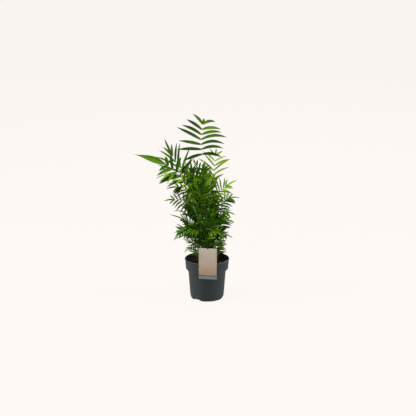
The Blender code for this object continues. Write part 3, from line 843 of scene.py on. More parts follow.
# %% Crumbs and chips
CRUMB_SEED = 11
CRUMB_COUNT = 1500
CRUMB_REACH = 0.0556
CRUMB_RADIUS = (0.0005, 0.0014)
CRUMB_GROWTHS = (0.8, 1, 1, 1.5)
CRUMB_SHAPE = (1.0, 0.85, 0.7)
CRUMB_LIFT_SHARE = 0.2
LUMP_TILT = 0.6
LARGE_CRUMB = 0.0012
HEAP_CRUMBS = 120
HEAP_CRUMB_REACH = 0.007
HEAP_CRUMB_LIFT = 0.002
CHIP_COUNT = 90
CHIP_REACH = 0.052
CHIP_LENGTH = (0.0018, 0.0042)
CHIP_WIDTH_SHARE = (0.15, 0.3)
CHIP_LIFT = 0.0006
DENT_DEPTH = 0.35
DENT_SCALE = 1.6


def lump(rounds):
    """The points and faces of a small ball, divided in so many rounds, as the start of a crumb."""
    shape = bmesh.new()
    bmesh.ops.create_icosphere(shape, subdivisions=rounds, radius=1)
    points = [vertex.co.copy() for vertex in shape.verts]
    faces = [tuple(vertex.index for vertex in face.verts) for face in shape.faces]
    shape.free()
    return points, faces


def strew(pile, ball, centre, size, rng):
    """One lump at the centre, of this size in three directions, turned and dented at random."""
    lump_points, lump_faces = ball
    turn = Matrix.Rotation(rng.uniform(0, math.tau), 3, "Z")
    turn = turn @ Matrix.Rotation(rng.uniform(-LUMP_TILT, LUMP_TILT), 3, "X")
    dents = Vector((rng.uniform(0, 50), rng.uniform(0, 50), rng.uniform(0, 50)))
    first = len(pile.points)
    for point in lump_points:
        dented = point * (1 + DENT_DEPTH * noise.noise(point * DENT_SCALE + dents))
        moved = turn @ Vector((dented.x * size[0], dented.y * size[1], dented.z * size[2]))
        pile.points.append(centre + moved)
        pile.places.append((point.x, point.y))
    pile.faces.extend(tuple(first + corner for corner in face) for face in lump_faces)


def somewhere(rng, reach):
    """A point on the disc of this radius, anywhere with the same chance."""
    return around(rng.uniform(0, 360), reach * math.sqrt(rng.random()))


def make_crumbs():
    rng = random.Random(CRUMB_SEED)
    small = lump(1)
    large = lump(2)
    crumbs = Pile()
    for number in range(CRUMB_COUNT + HEAP_CRUMBS):
        if number < CRUMB_COUNT:
            place = somewhere(rng, CRUMB_REACH)
            lift = 0.0
        else:
            place = HEAP + somewhere(rng, HEAP_CRUMB_REACH)
            lift = rng.uniform(0, HEAP_CRUMB_LIFT)
        place *= min(1.0, CRUMB_REACH / max(place.length, 0.001))
        radius = rng.uniform(*CRUMB_RADIUS) * rng.choice(CRUMB_GROWTHS)
        place.z = compost_height(place.x, place.y) + radius * CRUMB_LIFT_SHARE + lift
        ball = large if radius > LARGE_CRUMB else small
        strew(crumbs, ball, place, [radius * share for share in CRUMB_SHAPE], rng)
    chips = Pile()
    for _ in range(CHIP_COUNT):
        place = somewhere(rng, CHIP_REACH)
        long = rng.uniform(*CHIP_LENGTH)
        place.z = compost_height(place.x, place.y) + CHIP_LIFT
        strew(chips, large, place, (long, long * rng.uniform(*CHIP_WIDTH_SHARE), long * 0.1), rng)
    crumbs.build("compost_crumbs", CRUMB, slot="compost")
    chips.build("compost_chips", CHIP, slot="compost")
    return len(crumbs.faces) + len(chips.faces)


print("crumb and chip faces:", make_crumbs())

# %% [markdown]
# ## Label
#
# The card hangs outside the rim by a tongue of the same card, folded over the rim and down inside the
# wall. It is a flat shape with round corners and a small round notch in its top edge. Its front is one
# flat face of many corners, so a 2D curve that is filled and extruded suits it, and a strip makes the
# tongue.

# %% Label sizes and places
CARD_WIDTH = 0.048
CARD_HEIGHT = 0.085
CARD_FOOT = 0.070
CARD_THICKNESS = 0.0008
CARD_CORNER = 0.0016
CARD_TURN = -10
CARD_SHIFT = 0.0126
NOTCH_RADIUS = 0.0026
HOOK_WIDTH = 0.010
HOOK_REACH = 0.0038
HOOK_DROP = 0.0070
HOOK_BEND = 0.0007
SEAT_GAP = 0.0003


def arc(x, y, radius, first, last, steps):
    """Points on an arc about this centre, from the first angle to the last."""
    points = []
    for step in range(steps + 1):
        turn = math.radians(between((first, last), step / steps))
        points.append((x + radius * math.cos(turn), y + radius * math.sin(turn)))
    return points


def card_outline():
    """The card's outline on its own plane: its four round corners, and the notch between the upper two."""
    right = CARD_WIDTH / 2 - CARD_CORNER
    top = CARD_HEIGHT - CARD_CORNER
    return (arc(right, CARD_CORNER, CARD_CORNER, -90, 0, 6)
            + arc(right, top, CARD_CORNER, 0, 90, 6)
            + arc(0, CARD_HEIGHT, NOTCH_RADIUS, 0, -180, 16)
            + arc(-right, top, CARD_CORNER, 90, 180, 6)
            + arc(-right, CARD_CORNER, CARD_CORNER, 180, 270, 6))


def card_place():
    """The card's own frame: X across it, Y up it and Z out of its face, from the middle of its foot."""
    turn = Matrix.Rotation(math.radians(CARD_TURN), 4, "Z")
    stand_off = RIM_RADIUS + SEAT_GAP + CARD_THICKNESS / 2
    place = Matrix.Translation((CARD_SHIFT, -stand_off, CARD_FOOT))
    return turn @ place @ Matrix.Rotation(math.radians(90), 4, "X")


print("card outline:", len(card_outline()), "points")

# %% The card and its tongue
CARD_EDGE = 0.0001
PLAIN_PLACE = (0.5, 0.6)


def make_card():
    curve = bpy.data.curves.new("card", "CURVE")
    curve.dimensions = "2D"
    curve.fill_mode = "BOTH"
    curve.extrude = CARD_THICKNESS / 2 - CARD_EDGE
    curve.bevel_depth = CARD_EDGE
    outline = card_outline()
    spline = curve.splines.new("POLY")
    spline.points.add(len(outline) - 1)
    for point, (x, y) in zip(spline.points, outline):
        point.co = (x, y, 0, 1)
    spline.use_cyclic_u = True
    flat = new_object("card", curve)
    bpy.context.view_layer.update()
    mesh = bpy.data.meshes.new_from_object(flat.evaluated_get(bpy.context.evaluated_depsgraph_get()))
    bpy.data.objects.remove(flat)
    layer = mesh.uv_layers.active
    for corner in mesh.loops:
        point = mesh.vertices[corner.vertex_index].co
        layer.data[corner.index].uv = (point.x / CARD_WIDTH + 0.5, point.y / CARD_HEIGHT)
    mesh.transform(card_place())
    mesh.materials.clear()
    mesh.materials.append(CARD)
    mesh.set_sharp_from_angle(angle=math.radians(30))
    return add_piece("label_card", mesh, ["label"])


def tongue_path():
    """How far out and how far up the tongue's middle lies, from the card over the rim and down inside."""
    seat = POT_HEIGHT + SEAT_GAP + CARD_THICKNESS / 2 - CARD_FOOT
    back = -HOOK_REACH - CARD_THICKNESS / 2
    bend = arc(back + HOOK_BEND, seat - HOOK_BEND, HOOK_BEND, 90, 180, 5)
    return [(-CARD_THICKNESS / 2, seat)] + bend + [(back, seat - HOOK_DROP)]


def make_tongue():
    place = card_place()
    path = tongue_path()
    edge = HOOK_WIDTH / 2
    rows = []
    for number, (out, up) in enumerate(path):
        before = Vector(path[max(0, number - 1)])
        after = Vector(path[min(len(path) - 1, number + 1)])
        along = (after - before).normalized()
        normal = Vector((-along.y, along.x)) * (CARD_THICKNESS / 2)
        rows.append([place @ Vector((x - CARD_SHIFT, up + side * normal.y, out + side * normal.x))
                     for x, side in ((-edge, 1), (-edge, -1), (edge, -1), (edge, 1))])
    pile = Pile()
    pile.add_rows(rows, closed=True, caps=True)
    pile.places = [PLAIN_PLACE] * len(pile.places)
    tongue = pile.build("label_tongue", CARD, ["label"], "card")
    tongue.data.set_sharp_from_angle(angle=math.radians(50))
    return tongue


print("card faces:", len(make_card().data.polygons), "tongue faces:", len(make_tongue().data.polygons))

# %% [markdown]
# ## How the plant grows
#
# The solids of the crown were grown by a rule, and the leaves here grow by the same rule, so that every
# stem, rib and tip is where its solid is. The rule has three steps. Stems stand in the compost like the
# seeds in a sunflower, turned by the golden angle. Each frond has a rib, a curve from its stem to its
# tip, and a rib is only kept where it has room. Last, leaflets stand along each rib. The first two steps
# are the same as for the solids, number for number, and the third is carried further here: more leaflets,
# with their real outline.

# %% Stems
GOLDEN_ANGLE = 137.508
SEED = 5
STEM_COUNT = 9
STEM_FIRST_AZIMUTH = 20
STEM_SPACING = 0.0058
STEM_FIRST_PLACE = 0.3
STEM_HEIGHT = 0.150
STEM_HEIGHT_STEP = -0.0055
STEM_HEIGHT_SPREAD = 0.006
STEM_LEAN = 0.006
STEM_LEAN_STEP = 0.0012
STEM_LEAN_CURVE = 1.7
STEM_LEAN_TURN = 25
STEM_FOOT_RADIUS = 0.0033
STEM_TIP_RADIUS = 0.0020
STEM_FLARE = 0.40
STEM_FLARE_TOP = 0.14
STEM_SHARES = (0.0, 0.05, STEM_FLARE_TOP, 0.45, 0.75, 1.0)


@dataclass
class Stem:
    """A slender upright stem: its foot, its height, and how far and which way its tip leans."""

    foot: Vector
    height: float
    lean: float
    azimuth: float

    def point(self, share):
        lean = around(self.azimuth, self.lean * share ** STEM_LEAN_CURVE)
        return self.foot + UP * (self.height * share) + lean

    def radius(self, share):
        taper = between((STEM_FOOT_RADIUS, STEM_TIP_RADIUS), share)
        return taper * (1 + STEM_FLARE * max(0.0, 1 - share / STEM_FLARE_TOP) ** 2)


def stems():
    """The stems stand in the compost like the seeds in a sunflower, the tallest in the middle."""
    rng = random.Random(SEED)
    found = []
    for number in range(STEM_COUNT):
        azimuth = GOLDEN_ANGLE * number + STEM_FIRST_AZIMUTH
        distance = STEM_SPACING * math.sqrt(number + STEM_FIRST_PLACE)
        foot = around(azimuth, distance, COMPOST_TOP + SEAT_GAP)
        height = STEM_HEIGHT + STEM_HEIGHT_STEP * number
        height += rng.uniform(-STEM_HEIGHT_SPREAD, STEM_HEIGHT_SPREAD)
        lean = STEM_LEAN + STEM_LEAN_STEP * number
        found.append(Stem(foot, height, lean, azimuth + rng.uniform(-STEM_LEAN_TURN, STEM_LEAN_TURN)))
    return found


STEMS = stems()
print("stems:", len(STEMS), "up to", round(max(stem.point(1).z for stem in STEMS), 3), "m")

# %% [markdown]
# ### The fronds that are known by name
#
# Fifteen fronds stand out in the crown's outline from the front, so each is listed with its own sizes:
# the stem it leaves, how high up, its tip, how steeply it starts and ends, and its leaflets. The tallest
# rises straight up in the middle. One on the left ends in a broad leaflet that reaches furthest of all.
# Five bright young fronds are small enough to be left to this scene: three stand up among the others, and
# two arch low over the label.

# %% Fronds by name
@dataclass
class Frond:
    """One frond, by its sizes in metres and its angles in degrees."""

    stem: int
    leaves: float  # the share of the stem's height where it leaves
    tip: tuple
    rise: float = 80  # how steeply the rib starts
    dive: float = 25  # how steeply it ends
    swing: float = 0  # how far its end is turned aside
    roll: float = 0  # how far the blade is rolled about it
    bare: float = 0.38  # the share of it that is a bare stalk
    pairs: int = 7
    leaflet: float = 0.042
    width: float = 0.0055
    spread: tuple = (78, 44)  # the leaflets' angle to the rib, at the lowest and at the highest pair
    lift: float = 10  # how far they stand up out of the blade
    droop: float = 0.22  # how far their tips sag, as a share of their length
    uneven: float = 0  # how much more one side sags
    terminal: float = 0.6  # the length of the end leaflet, as a share
    end_width: float = 1.0  # its width, as a share


NAMED_FRONDS = (
    # the tallest frond, and the thin pale one on the right below it
    Frond(0, 0.98, (-0.011, 0.028, 0.474), rise=90, dive=70, swing=-80, roll=-12, bare=0.60, leaflet=0.076,
          width=0.0084, spread=(88, 54), lift=3, droop=0.16, uneven=0.13, terminal=0.20),
    Frond(3, 0.96, (0.023, 0.040, 0.386), rise=84, dive=80, roll=22, bare=0.55, pairs=6, leaflet=0.040,
          width=0.0040, spread=(60, 50), lift=4, droop=0.04, terminal=0.4),
    # the two that reach out to the upper left, the first one ending in a broad leaflet
    Frond(4, 0.90, (-0.106, -0.010, 0.368), rise=66, dive=28, roll=-60, bare=0.52, pairs=6, leaflet=0.060,
          width=0.0096, spread=(80, 46), droop=0.20, terminal=1.60, end_width=1.75),
    Frond(6, 0.98, (-0.094, 0.034, 0.386), rise=78, dive=66, roll=-70, bare=0.52, pairs=6, leaflet=0.068,
          width=0.0060, spread=(58, 22), lift=0, droop=0.0, terminal=0.8),
    # the left side
    Frond(7, 0.95, (-0.104, -0.046, 0.350), rise=72, dive=4, roll=-30, leaflet=0.046, droop=0.42),
    Frond(6, 0.72, (-0.078, 0.020, 0.302), rise=72, dive=6, roll=-44, leaflet=0.044, droop=0.30),
    Frond(1, 0.56, (-0.088, -0.008, 0.274), rise=66, dive=6, roll=-40, leaflet=0.042, droop=0.26),
    Frond(6, 0.46, (-0.062, 0.012, 0.214), rise=62, dive=26, roll=-24, leaflet=0.040, droop=0.08,
          terminal=1.2),
    Frond(4, 0.40, (-0.068, -0.030, 0.190), rise=62, dive=-24, roll=-24, leaflet=0.036, droop=0.40),
    Frond(7, 0.20, (-0.046, -0.036, 0.150), rise=60, dive=-24, roll=-16, pairs=5, leaflet=0.028,
          droop=0.36),
    # the right side
    Frond(2, 0.95, (0.050, -0.018, 0.314), rise=78, dive=34, roll=54, leaflet=0.048, droop=0.10),
    Frond(8, 0.92, (0.060, 0.022, 0.272), rise=74, dive=6, roll=40, leaflet=0.042, droop=0.18),
    Frond(5, 0.72, (0.052, -0.012, 0.240), rise=70, dive=0, roll=36, leaflet=0.036, droop=0.24),
    Frond(8, 0.50, (0.056, 0.036, 0.206), rise=62, dive=-6, roll=20, leaflet=0.036),
    Frond(2, 0.44, (0.034, -0.026, 0.184), rise=66, dive=-12, roll=30, leaflet=0.032, droop=0.34),
)

BRIGHT_FRONDS = (
    # young fronds with a few broad leaflets, which stand up in the front of the crown
    Frond(7, 0.95, (-0.006, -0.006, 0.336), rise=88, dive=84, roll=-14, bare=0.62, pairs=4, leaflet=0.050,
          width=0.0088, spread=(36, 16), lift=3, droop=0.10, terminal=1.0),
    Frond(2, 0.97, (0.008, -0.004, 0.322), rise=88, dive=82, roll=20, bare=0.64, pairs=4, leaflet=0.048,
          width=0.0080, spread=(40, 18), lift=3, droop=0.14, terminal=1.0),
    Frond(4, 0.80, (-0.034, -0.016, 0.296), rise=86, dive=78, roll=-30, bare=0.60, pairs=4, leaflet=0.044,
          width=0.0076, spread=(44, 20), lift=3, droop=0.16, terminal=0.9),
    # two that arch low over the label
    Frond(7, 0.68, (0.020, -0.040, 0.197), rise=74, dive=-8, roll=16, bare=0.46, pairs=6, leaflet=0.034,
          width=0.0058, spread=(64, 34), lift=6, droop=0.40, terminal=0.9),
    Frond(7, 0.70, (-0.038, -0.038, 0.200), rise=72, dive=-6, roll=-16, bare=0.46, pairs=6, leaflet=0.034,
          width=0.0058, spread=(64, 34), lift=6, droop=0.44, terminal=0.9),
)
print("fronds by name:", len(NAMED_FRONDS), "and", len(BRIGHT_FRONDS), "bright ones")

# %% [markdown]
# ### Room
#
# Two things can't be in the same place. The plant keeps a list of the spaces that are taken, each a small
# closed shape, and asks it before it adds a leaflet, or a rib whose place is still open. A tree of bounding
# volumes answers fast whether two shapes cross, and a grid of cells keeps the number of questions down.

# %% Sections and room
@dataclass
class Section:
    """A cross-section of a strip: its middle, the ways across it and out of it, and its half width."""

    middle: Vector
    across: Vector
    normal: Vector
    half: float


def swollen(sections, thickness, margin):
    """The space that a strip keeps to itself: the strip with its thickness, and the margin on all sides."""
    points = []
    last = len(sections) - 1
    for number, section in enumerate(sections):
        along = section.normal.cross(section.across) * (margin * ((number == last) - (number == 0)))
        wide = section.across * (section.half + margin)
        deep = section.normal * (thickness / 2 + margin)
        middle = section.middle - along
        points += [middle - wide - deep, middle + wide - deep, middle + wide + deep, middle - wide + deep]
    faces = [(0, 1, 2, 3), tuple(4 * last + i for i in range(4))]
    for number in range(last):
        for side in range(4):
            near = 4 * number + side
            far = 4 * number + (side + 1) % 4
            faces.append((near, far, far + 4, near + 4))
    return points, faces


class Room:
    """What is taken already, in cells of a grid: each space has the name of what fills it."""

    CELL = 0.025

    def __init__(self):
        self.cells = {}

    def wrap(self, points, faces):
        low = tuple(min(point[axis] for point in points) for axis in range(3))
        high = tuple(max(point[axis] for point in points) for axis in range(3))
        return BVHTree.FromPolygons(points, faces), low, high

    def cells_of(self, low, high):
        ranges = [range(int(low[axis] // self.CELL), int(high[axis] // self.CELL) + 1) for axis in range(3)]
        return [(x, y, z) for x in ranges[0] for y in ranges[1] for z in ranges[2]]

    def is_free(self, space, apart_from=()):
        tree, low, high = space
        asked = set()
        for cell in self.cells_of(low, high):
            for name, other, other_low, other_high in self.cells.get(cell, ()):
                if name in apart_from or id(other) in asked:
                    continue
                asked.add(id(other))
                if any(low[axis] > other_high[axis] or other_low[axis] > high[axis] for axis in range(3)):
                    continue
                if tree.overlap(other):
                    return False
        return True

    def take(self, name, space):
        tree, low, high = space
        for cell in self.cells_of(low, high):
            self.cells.setdefault(cell, []).append((name, tree, low, high))


print("room ready, in cells of", Room.CELL, "m")

# %% [markdown]
# ### Ribs
#
# A rib is a Bezier curve. It leaves its foot steeply, arches over, and reaches its tip at its own angle.
# The blade is rolled about the rib, the more the nearer to the tip, so that each frond shows its face a
# little differently.

# %% Ribs
RIB_HALF_WIDTH = 0.0012
RIB_END_HALF_WIDTH = 0.0007
RIB_THICKNESS = 0.0022
RIB_HANDLES = (0.42, 0.34)
SHEATH_HALF_WIDTH = 0.0026
STALK_STEPS = 4
BASE_SHARE = 0.46
RIB_MARGIN = 0.0008


class Rib:
    """A frond's rib: a curve that starts steeply at its foot and arches over to its tip."""

    def __init__(self, frond, foot, rng, sheath=RIB_HALF_WIDTH):
        self.frond = frond
        self.name = ""
        self.sheath = sheath
        self.varied = [[rng.uniform(-1, 1) for _ in range(3)] for _ in range(2 * frond.pairs + 1)]
        tip = Vector(frond.tip)
        level = Vector((tip.x - foot.x, tip.y - foot.y, 0))
        outward = level.normalized()
        length = (tip - foot).length
        rise = math.radians(frond.rise)
        dive = math.radians(frond.dive)
        start = outward * math.cos(rise) + UP * math.sin(rise)
        inward = Matrix.Rotation(math.radians(frond.swing), 3, "Z") @ outward
        end = inward * math.cos(dive) + UP * math.sin(dive)
        first, last = RIB_HANDLES
        self.controls = (foot, foot + start * (first * length), tip - end * (last * length), tip)
        self.side = UP.cross(outward)

    def point(self, share):
        rest = 1 - share
        first, second, third, fourth = self.controls
        return (first * rest ** 3 + second * (3 * rest ** 2 * share)
                + third * (3 * rest * share ** 2) + fourth * share ** 3)

    def direction(self, share):
        rest = 1 - share
        first, second, third, fourth = self.controls
        slope = ((second - first) * rest ** 2 + (third - second) * (2 * rest * share)
                 + (fourth - third) * share ** 2)
        return slope.normalized()

    def section(self, share):
        """The rib's cross-section, with its blade rolled about it the more the nearer it is to the tip."""
        along = self.direction(share)
        roll = math.radians(self.frond.roll) * min(1.0, share / max(self.frond.bare, 0.1))
        across = Matrix.Rotation(roll, 3, along) @ self.side
        across = (across - along * across.dot(along)).normalized()
        width = between((RIB_HALF_WIDTH, RIB_END_HALF_WIDTH), share)
        if share == 0:
            width = self.sheath
        return Section(self.point(share), across, along.cross(across), width)

    def pitch(self):
        return (1 - self.frond.bare) / (self.frond.pairs - 1 + BASE_SHARE)

    def shares(self):
        """Where the cross-sections lie: along the bare stalk, then at both ends of each leaflet's foot."""
        bare = self.frond.bare
        found = [bare * step / STALK_STEPS for step in range(STALK_STEPS)]
        for pair in range(self.frond.pairs):
            found += [bare + self.pitch() * pair, bare + self.pitch() * (pair + BASE_SHARE)]
        return found


def stalk_foot(stem, frond):
    """Where a stalk starts: beside its stem, on the side it leaves for, clear of it by the seat gap."""
    centre = stem.point(frond.leaves)
    tip = Vector(frond.tip)
    outward = Vector((tip.x - centre.x, tip.y - centre.y, 0)).normalized()
    return centre + outward * (stem.radius(frond.leaves) + SEAT_GAP + RIB_THICKNESS / 2)


def frond_rib(frond, rng):
    """The rib of a frond that leaves one of the stems."""
    return Rib(frond, stalk_foot(STEMS[frond.stem], frond), rng)


def rib_space(room, rib, start=0.0, thickness=RIB_THICKNESS, margin=RIB_MARGIN):
    shares = [start] + [share for share in rib.shares() if share > start]
    return room.wrap(*swollen([rib.section(share) for share in shares], thickness, margin))


def settle(room, rib, name, space):
    """Give the rib its name, and its space in the room."""
    rib.name = name
    room.take(name, space)
    return rib


print("ribs ready")

# %% Ribs that are listed, and ribs that are tried
def place_listed(room, fronds, kind, seed, space_of=rib_space):
    """The ribs of these fronds, which stand where their sizes say."""
    rng = random.Random(seed)
    ribs = []
    for number, frond in enumerate(fronds, 1):
        rib = frond_rib(frond, rng)
        ribs.append(settle(room, rib, f"{kind} {number}", space_of(room, rib)))
    return ribs


def free_rib(room, name, rng, tries, new_frond, space_of=rib_space):
    """The rib of a frond that is made anew until it finds room and settles there, or None."""
    for _ in range(tries):
        rib = frond_rib(new_frond(rng), rng)
        space = space_of(room, rib)
        if room.is_free(space, apart_from=(f"stem {rib.frond.stem}",)):
            return settle(room, rib, name, space)
    return None


print("ways to place a rib ready")

# %% [markdown]
# ### Filling fronds
#
# Between the named fronds the crown is filled by one series. Its first frond stands up in the middle, and
# its last arches low over the pot, each turned on by the golden angle. A frond that meets another is
# tried again a little differently, and it is left out if it never finds room.

# %% Filling fronds
FILL_COUNT = 20
FILL_FIRST_AZIMUTH = 60
FILL_HEIGHT = (0.374, 0.180)
FILL_REACH = (0.026, 0.066)
FILL_LEAN = (-0.040, -0.006)
FILL_LEAVES = (0.95, 0.26)
FILL_RISE = (84, 68)
FILL_DIVE = (62, 2)
FILL_LEAFLET = (0.050, 0.036)
FILL_WIDTH = (0.0070, 0.0058)
FILL_DROOP = (0.10, 0.32)
FILL_AZIMUTH_SPREAD = 35
FILL_REACH_SPREAD = (-0.008, 0.010)
FILL_HEIGHT_SPREAD = 0.012
FILL_LEAVES_SPREAD = (-0.10, 0.02)
FILL_ROLL = 30
FILL_TRIES = 200
FILL_SEED = 17


def fill_frond(number, rng, count=FILL_COUNT):
    """One try at the filling frond of this number, turned on from the one before by the golden angle."""
    share = number / (count - 1)
    azimuth = FILL_FIRST_AZIMUTH + GOLDEN_ANGLE * number
    azimuth += rng.uniform(-FILL_AZIMUTH_SPREAD, FILL_AZIMUTH_SPREAD)
    reach = between(FILL_REACH, share) + rng.uniform(*FILL_REACH_SPREAD)
    height = between(FILL_HEIGHT, share) + rng.uniform(-FILL_HEIGHT_SPREAD, FILL_HEIGHT_SPREAD)
    tip = around(azimuth, reach, height)
    tip.x += between(FILL_LEAN, share)
    return Frond(
        stem=rng.randrange(STEM_COUNT),
        leaves=between(FILL_LEAVES, share) + rng.uniform(*FILL_LEAVES_SPREAD),
        tip=tuple(tip),
        rise=between(FILL_RISE, share),
        dive=between(FILL_DIVE, share),
        roll=rng.uniform(-FILL_ROLL, FILL_ROLL),
        leaflet=between(FILL_LEAFLET, share),
        width=between(FILL_WIDTH, share),
        droop=between(FILL_DROOP, share),
    )


def place_fill(room, first):
    """The ribs of the fronds that fill the crown on every side, each tried until it finds room."""
    rng = random.Random(FILL_SEED)
    ribs = []
    for number in range(FILL_COUNT):
        name = f"frond {first + len(ribs) + 1}"
        rib = free_rib(room, name, rng, FILL_TRIES, partial(fill_frond, number))
        if rib:
            ribs.append(rib)
    return ribs


print("filling fronds ready")

# %% [markdown]
# ### Seedlings
#
# Around the stems stand seedlings, small plants of two or three fronds that never grew tall. They hide
# the foot of the clump. They stand further out on the same sunflower, two fronds arching out and one
# standing up.

# %% Seedlings
SEEDLING_COUNT = 13
SEEDLING_SPACING = 0.0062
SEEDLING_FIRST_AZIMUTH = 75
SEEDLING_CORNER = 2 * SHEATH_HALF_WIDTH / math.sqrt(3)
SEEDLING_LEAFLET = 0.033
SEEDLING_WIDTH = 0.0054
SEEDLING_PAIRS = 5
SEEDLING_LEAN = -0.015
SEEDLING_AZIMUTH_SPREAD = 25
SEEDLING_TURNS = (-60, 60, 180)
SEEDLING_TRIES = 120
SEEDLING_SEED = 117
OUTER_REACH = (0.014, 0.038)
OUTER_HEIGHT = (0.040, 0.104)
OUTER_DIVE = 25
INNER_REACH = (0.004, 0.014)
INNER_HEIGHT = (0.060, 0.125)
SHEATH_SHARE = 0.10


def seedling_rib(room, name, middle, heading, outward, rng, tries=SEEDLING_TRIES):
    """A seedling's rib, where it finds room: an outward one arches over, and the inner one stands up."""
    foot = middle + around(heading, SEEDLING_CORNER / 2)
    for _ in range(tries):
        toward = heading + rng.uniform(-SEEDLING_AZIMUTH_SPREAD, SEEDLING_AZIMUTH_SPREAD)
        if outward:
            tip = middle + around(toward, rng.uniform(*OUTER_REACH), rng.uniform(*OUTER_HEIGHT))
            shape = {"rise": 70, "dive": rng.uniform(-OUTER_DIVE, OUTER_DIVE), "bare": 0.36, "droop": 0.26}
        else:
            tip = middle + around(toward, rng.uniform(*INNER_REACH), rng.uniform(*INNER_HEIGHT))
            shape = {"rise": 84, "dive": 70, "bare": 0.40, "droop": 0.12}
        tip.x += SEEDLING_LEAN
        frond = Frond(-1, 0.0, tuple(tip), pairs=SEEDLING_PAIRS, leaflet=SEEDLING_LEAFLET,
                      width=SEEDLING_WIDTH, **shape)
        rib = Rib(frond, foot, rng, sheath=SHEATH_HALF_WIDTH)
        space = rib_space(room, rib, SHEATH_SHARE)
        if room.is_free(space):
            return settle(room, rib, name, space)
    return None


def place_seedlings(room):
    """The middle and the ribs of each seedling, in a ring around the stems."""
    rng = random.Random(SEEDLING_SEED)
    found = []
    for number in range(1, SEEDLING_COUNT + 1):
        azimuth = SEEDLING_FIRST_AZIMUTH + GOLDEN_ANGLE * number
        distance = SEEDLING_SPACING * math.sqrt(number + STEM_COUNT)
        middle = around(azimuth, distance, COMPOST_TOP + SEAT_GAP + RIB_THICKNESS / 2)
        ribs = []
        for turn in SEEDLING_TURNS:
            outward = turn != SEEDLING_TURNS[-1]
            rib = seedling_rib(room, f"seedling {number}", middle, azimuth + turn, outward, rng)
            if rib:
                ribs.append(rib)
        found.append((middle, ribs))
    return found


print("seedlings ready")

# %% [markdown]
# ### Every rib in its place
#
# The ribs that the solids have take their room in the same order as there: first the stems and the label,
# then the named fronds, the filling ones and the seedlings. The label also takes the space in front of
# it, so that no frond hides it.

# %% Place every rib
CARD_CLEARANCE = 0.004
CARD_VIEW_DEPTH = 0.080


def keep_clear(room):
    """Take the room of the stems, the label and the open space in front of the label."""
    for number, stem in enumerate(STEMS):
        sections = [Section(stem.point(share), Vector((1, 0, 0)), Vector((0, 1, 0)), stem.radius(share))
                    for share in STEM_SHARES]
        points, faces = swollen(sections, 2 * STEM_FOOT_RADIUS, RIB_MARGIN)
        room.take(f"stem {number}", room.wrap(points, faces))
    place = card_place()
    low = (-CARD_WIDTH / 2 - CARD_CLEARANCE, -CARD_CLEARANCE / 2, -CARD_CLEARANCE)
    high = (CARD_WIDTH / 2 + CARD_CLEARANCE, CARD_HEIGHT + CARD_CLEARANCE, CARD_VIEW_DEPTH)
    corners = [place @ Vector((x, y, z)) for x in (low[0], high[0]) for y in (low[1], high[1])
               for z in (low[2], high[2])]
    faces = [(0, 1, 3, 2), (4, 5, 7, 6), (0, 1, 5, 4), (2, 3, 7, 6), (0, 2, 6, 4), (1, 3, 7, 5)]
    room.take("label", room.wrap(corners, faces))


ROOM = Room()
keep_clear(ROOM)
FROND_RIBS = place_listed(ROOM, NAMED_FRONDS, "frond", SEED)
FROND_RIBS += place_fill(ROOM, len(FROND_RIBS))
SEEDLINGS = place_seedlings(ROOM)
SEEDLING_RIBS = [rib for _, ribs in SEEDLINGS for rib in ribs]
print("fronds:", len(FROND_RIBS), "seedlings:", len(SEEDLINGS), "of", len(SEEDLING_RIBS), "ribs")

# %% [markdown]
# ### Finer fronds
#
# A clump as thick as this has more fronds than its solids show. The finer ones are tried like the filling
# ones, but they are shorter and more upright, and stay inside the others, as young fronds do. Their ribs
# are thin and may run close by each other. Single sprigs stand between the seedlings.

# %% Finer fronds
FINE_COUNT = 68
FINE_SIZE = (0.45, 0.84)
FINE_HEIGHT = (0.86, 0.98)
FINE_LEAVES = (0.12, 0.97)
FINE_LEAVES_SHARE = 0.85
FINE_TRIES = 60
FINE_ROLL = 60
FINE_LEAFLET = (0.040, 0.058)
FINE_SPREAD = (28, 56)
FINE_END_SPREAD = (12, 32)
FINE_DROOP = (0.02, 0.30)
FINE_UPRIGHT = 26
FINE_START = 0.05
FINE_THICKNESS = 0.0012
FINE_MARGIN = 0.0001


def finer_frond(number, rng):
    """One try at a finer frond: a filling frond drawn in towards the stems, and more upright."""
    frond = fill_frond(number, rng, FINE_COUNT)
    tip = Vector(frond.tip)
    size = rng.uniform(*FINE_SIZE)
    tip = Vector((tip.x * size, tip.y * size, tip.z * rng.uniform(*FINE_HEIGHT)))
    lowest, highest = FINE_LEAVES
    return replace(
        frond,
        tip=tuple(tip),
        leaves=min(highest, max(lowest, frond.leaves * FINE_LEAVES_SHARE)),
        dive=frond.dive + FINE_UPRIGHT,
        roll=rng.uniform(-FINE_ROLL, FINE_ROLL),
        leaflet=rng.uniform(*FINE_LEAFLET),
        spread=(rng.uniform(*FINE_SPREAD), rng.uniform(*FINE_END_SPREAD)),
        droop=rng.uniform(*FINE_DROOP),
    )


def fine_space(room, rib):
    """The space of a thin rib, which may run close by others and starts in its sheath."""
    return rib_space(room, rib, FINE_START, FINE_THICKNESS, FINE_MARGIN)


print("finer fronds ready")

# %% Place the bright and the finer fronds
BRIGHT_SEED = SEED + 30
FINE_SEED = SEED + 40
SPRIG_COUNT = 26
SPRIG_SPREAD = 0.026
SPRIG_TRIES = 20


def place_fine(room):
    """Shorter fronds between the others, and single sprigs between the seedlings."""
    rng = random.Random(FINE_SEED)
    ribs = []
    for number in range(FINE_COUNT):
        new_frond = partial(finer_frond, number)
        ribs.append(free_rib(room, f"fine {number}", rng, FINE_TRIES, new_frond, fine_space))
    for number in range(SPRIG_COUNT):
        azimuth = rng.uniform(0, 360)
        middle = around(azimuth, SPRIG_SPREAD * math.sqrt(rng.random()), COMPOST_TOP + SEAT_GAP)
        outward = rng.random() < 0.5
        ribs.append(seedling_rib(room, f"sprig {number}", middle, azimuth, outward, rng, SPRIG_TRIES))
    return [rib for rib in ribs if rib]


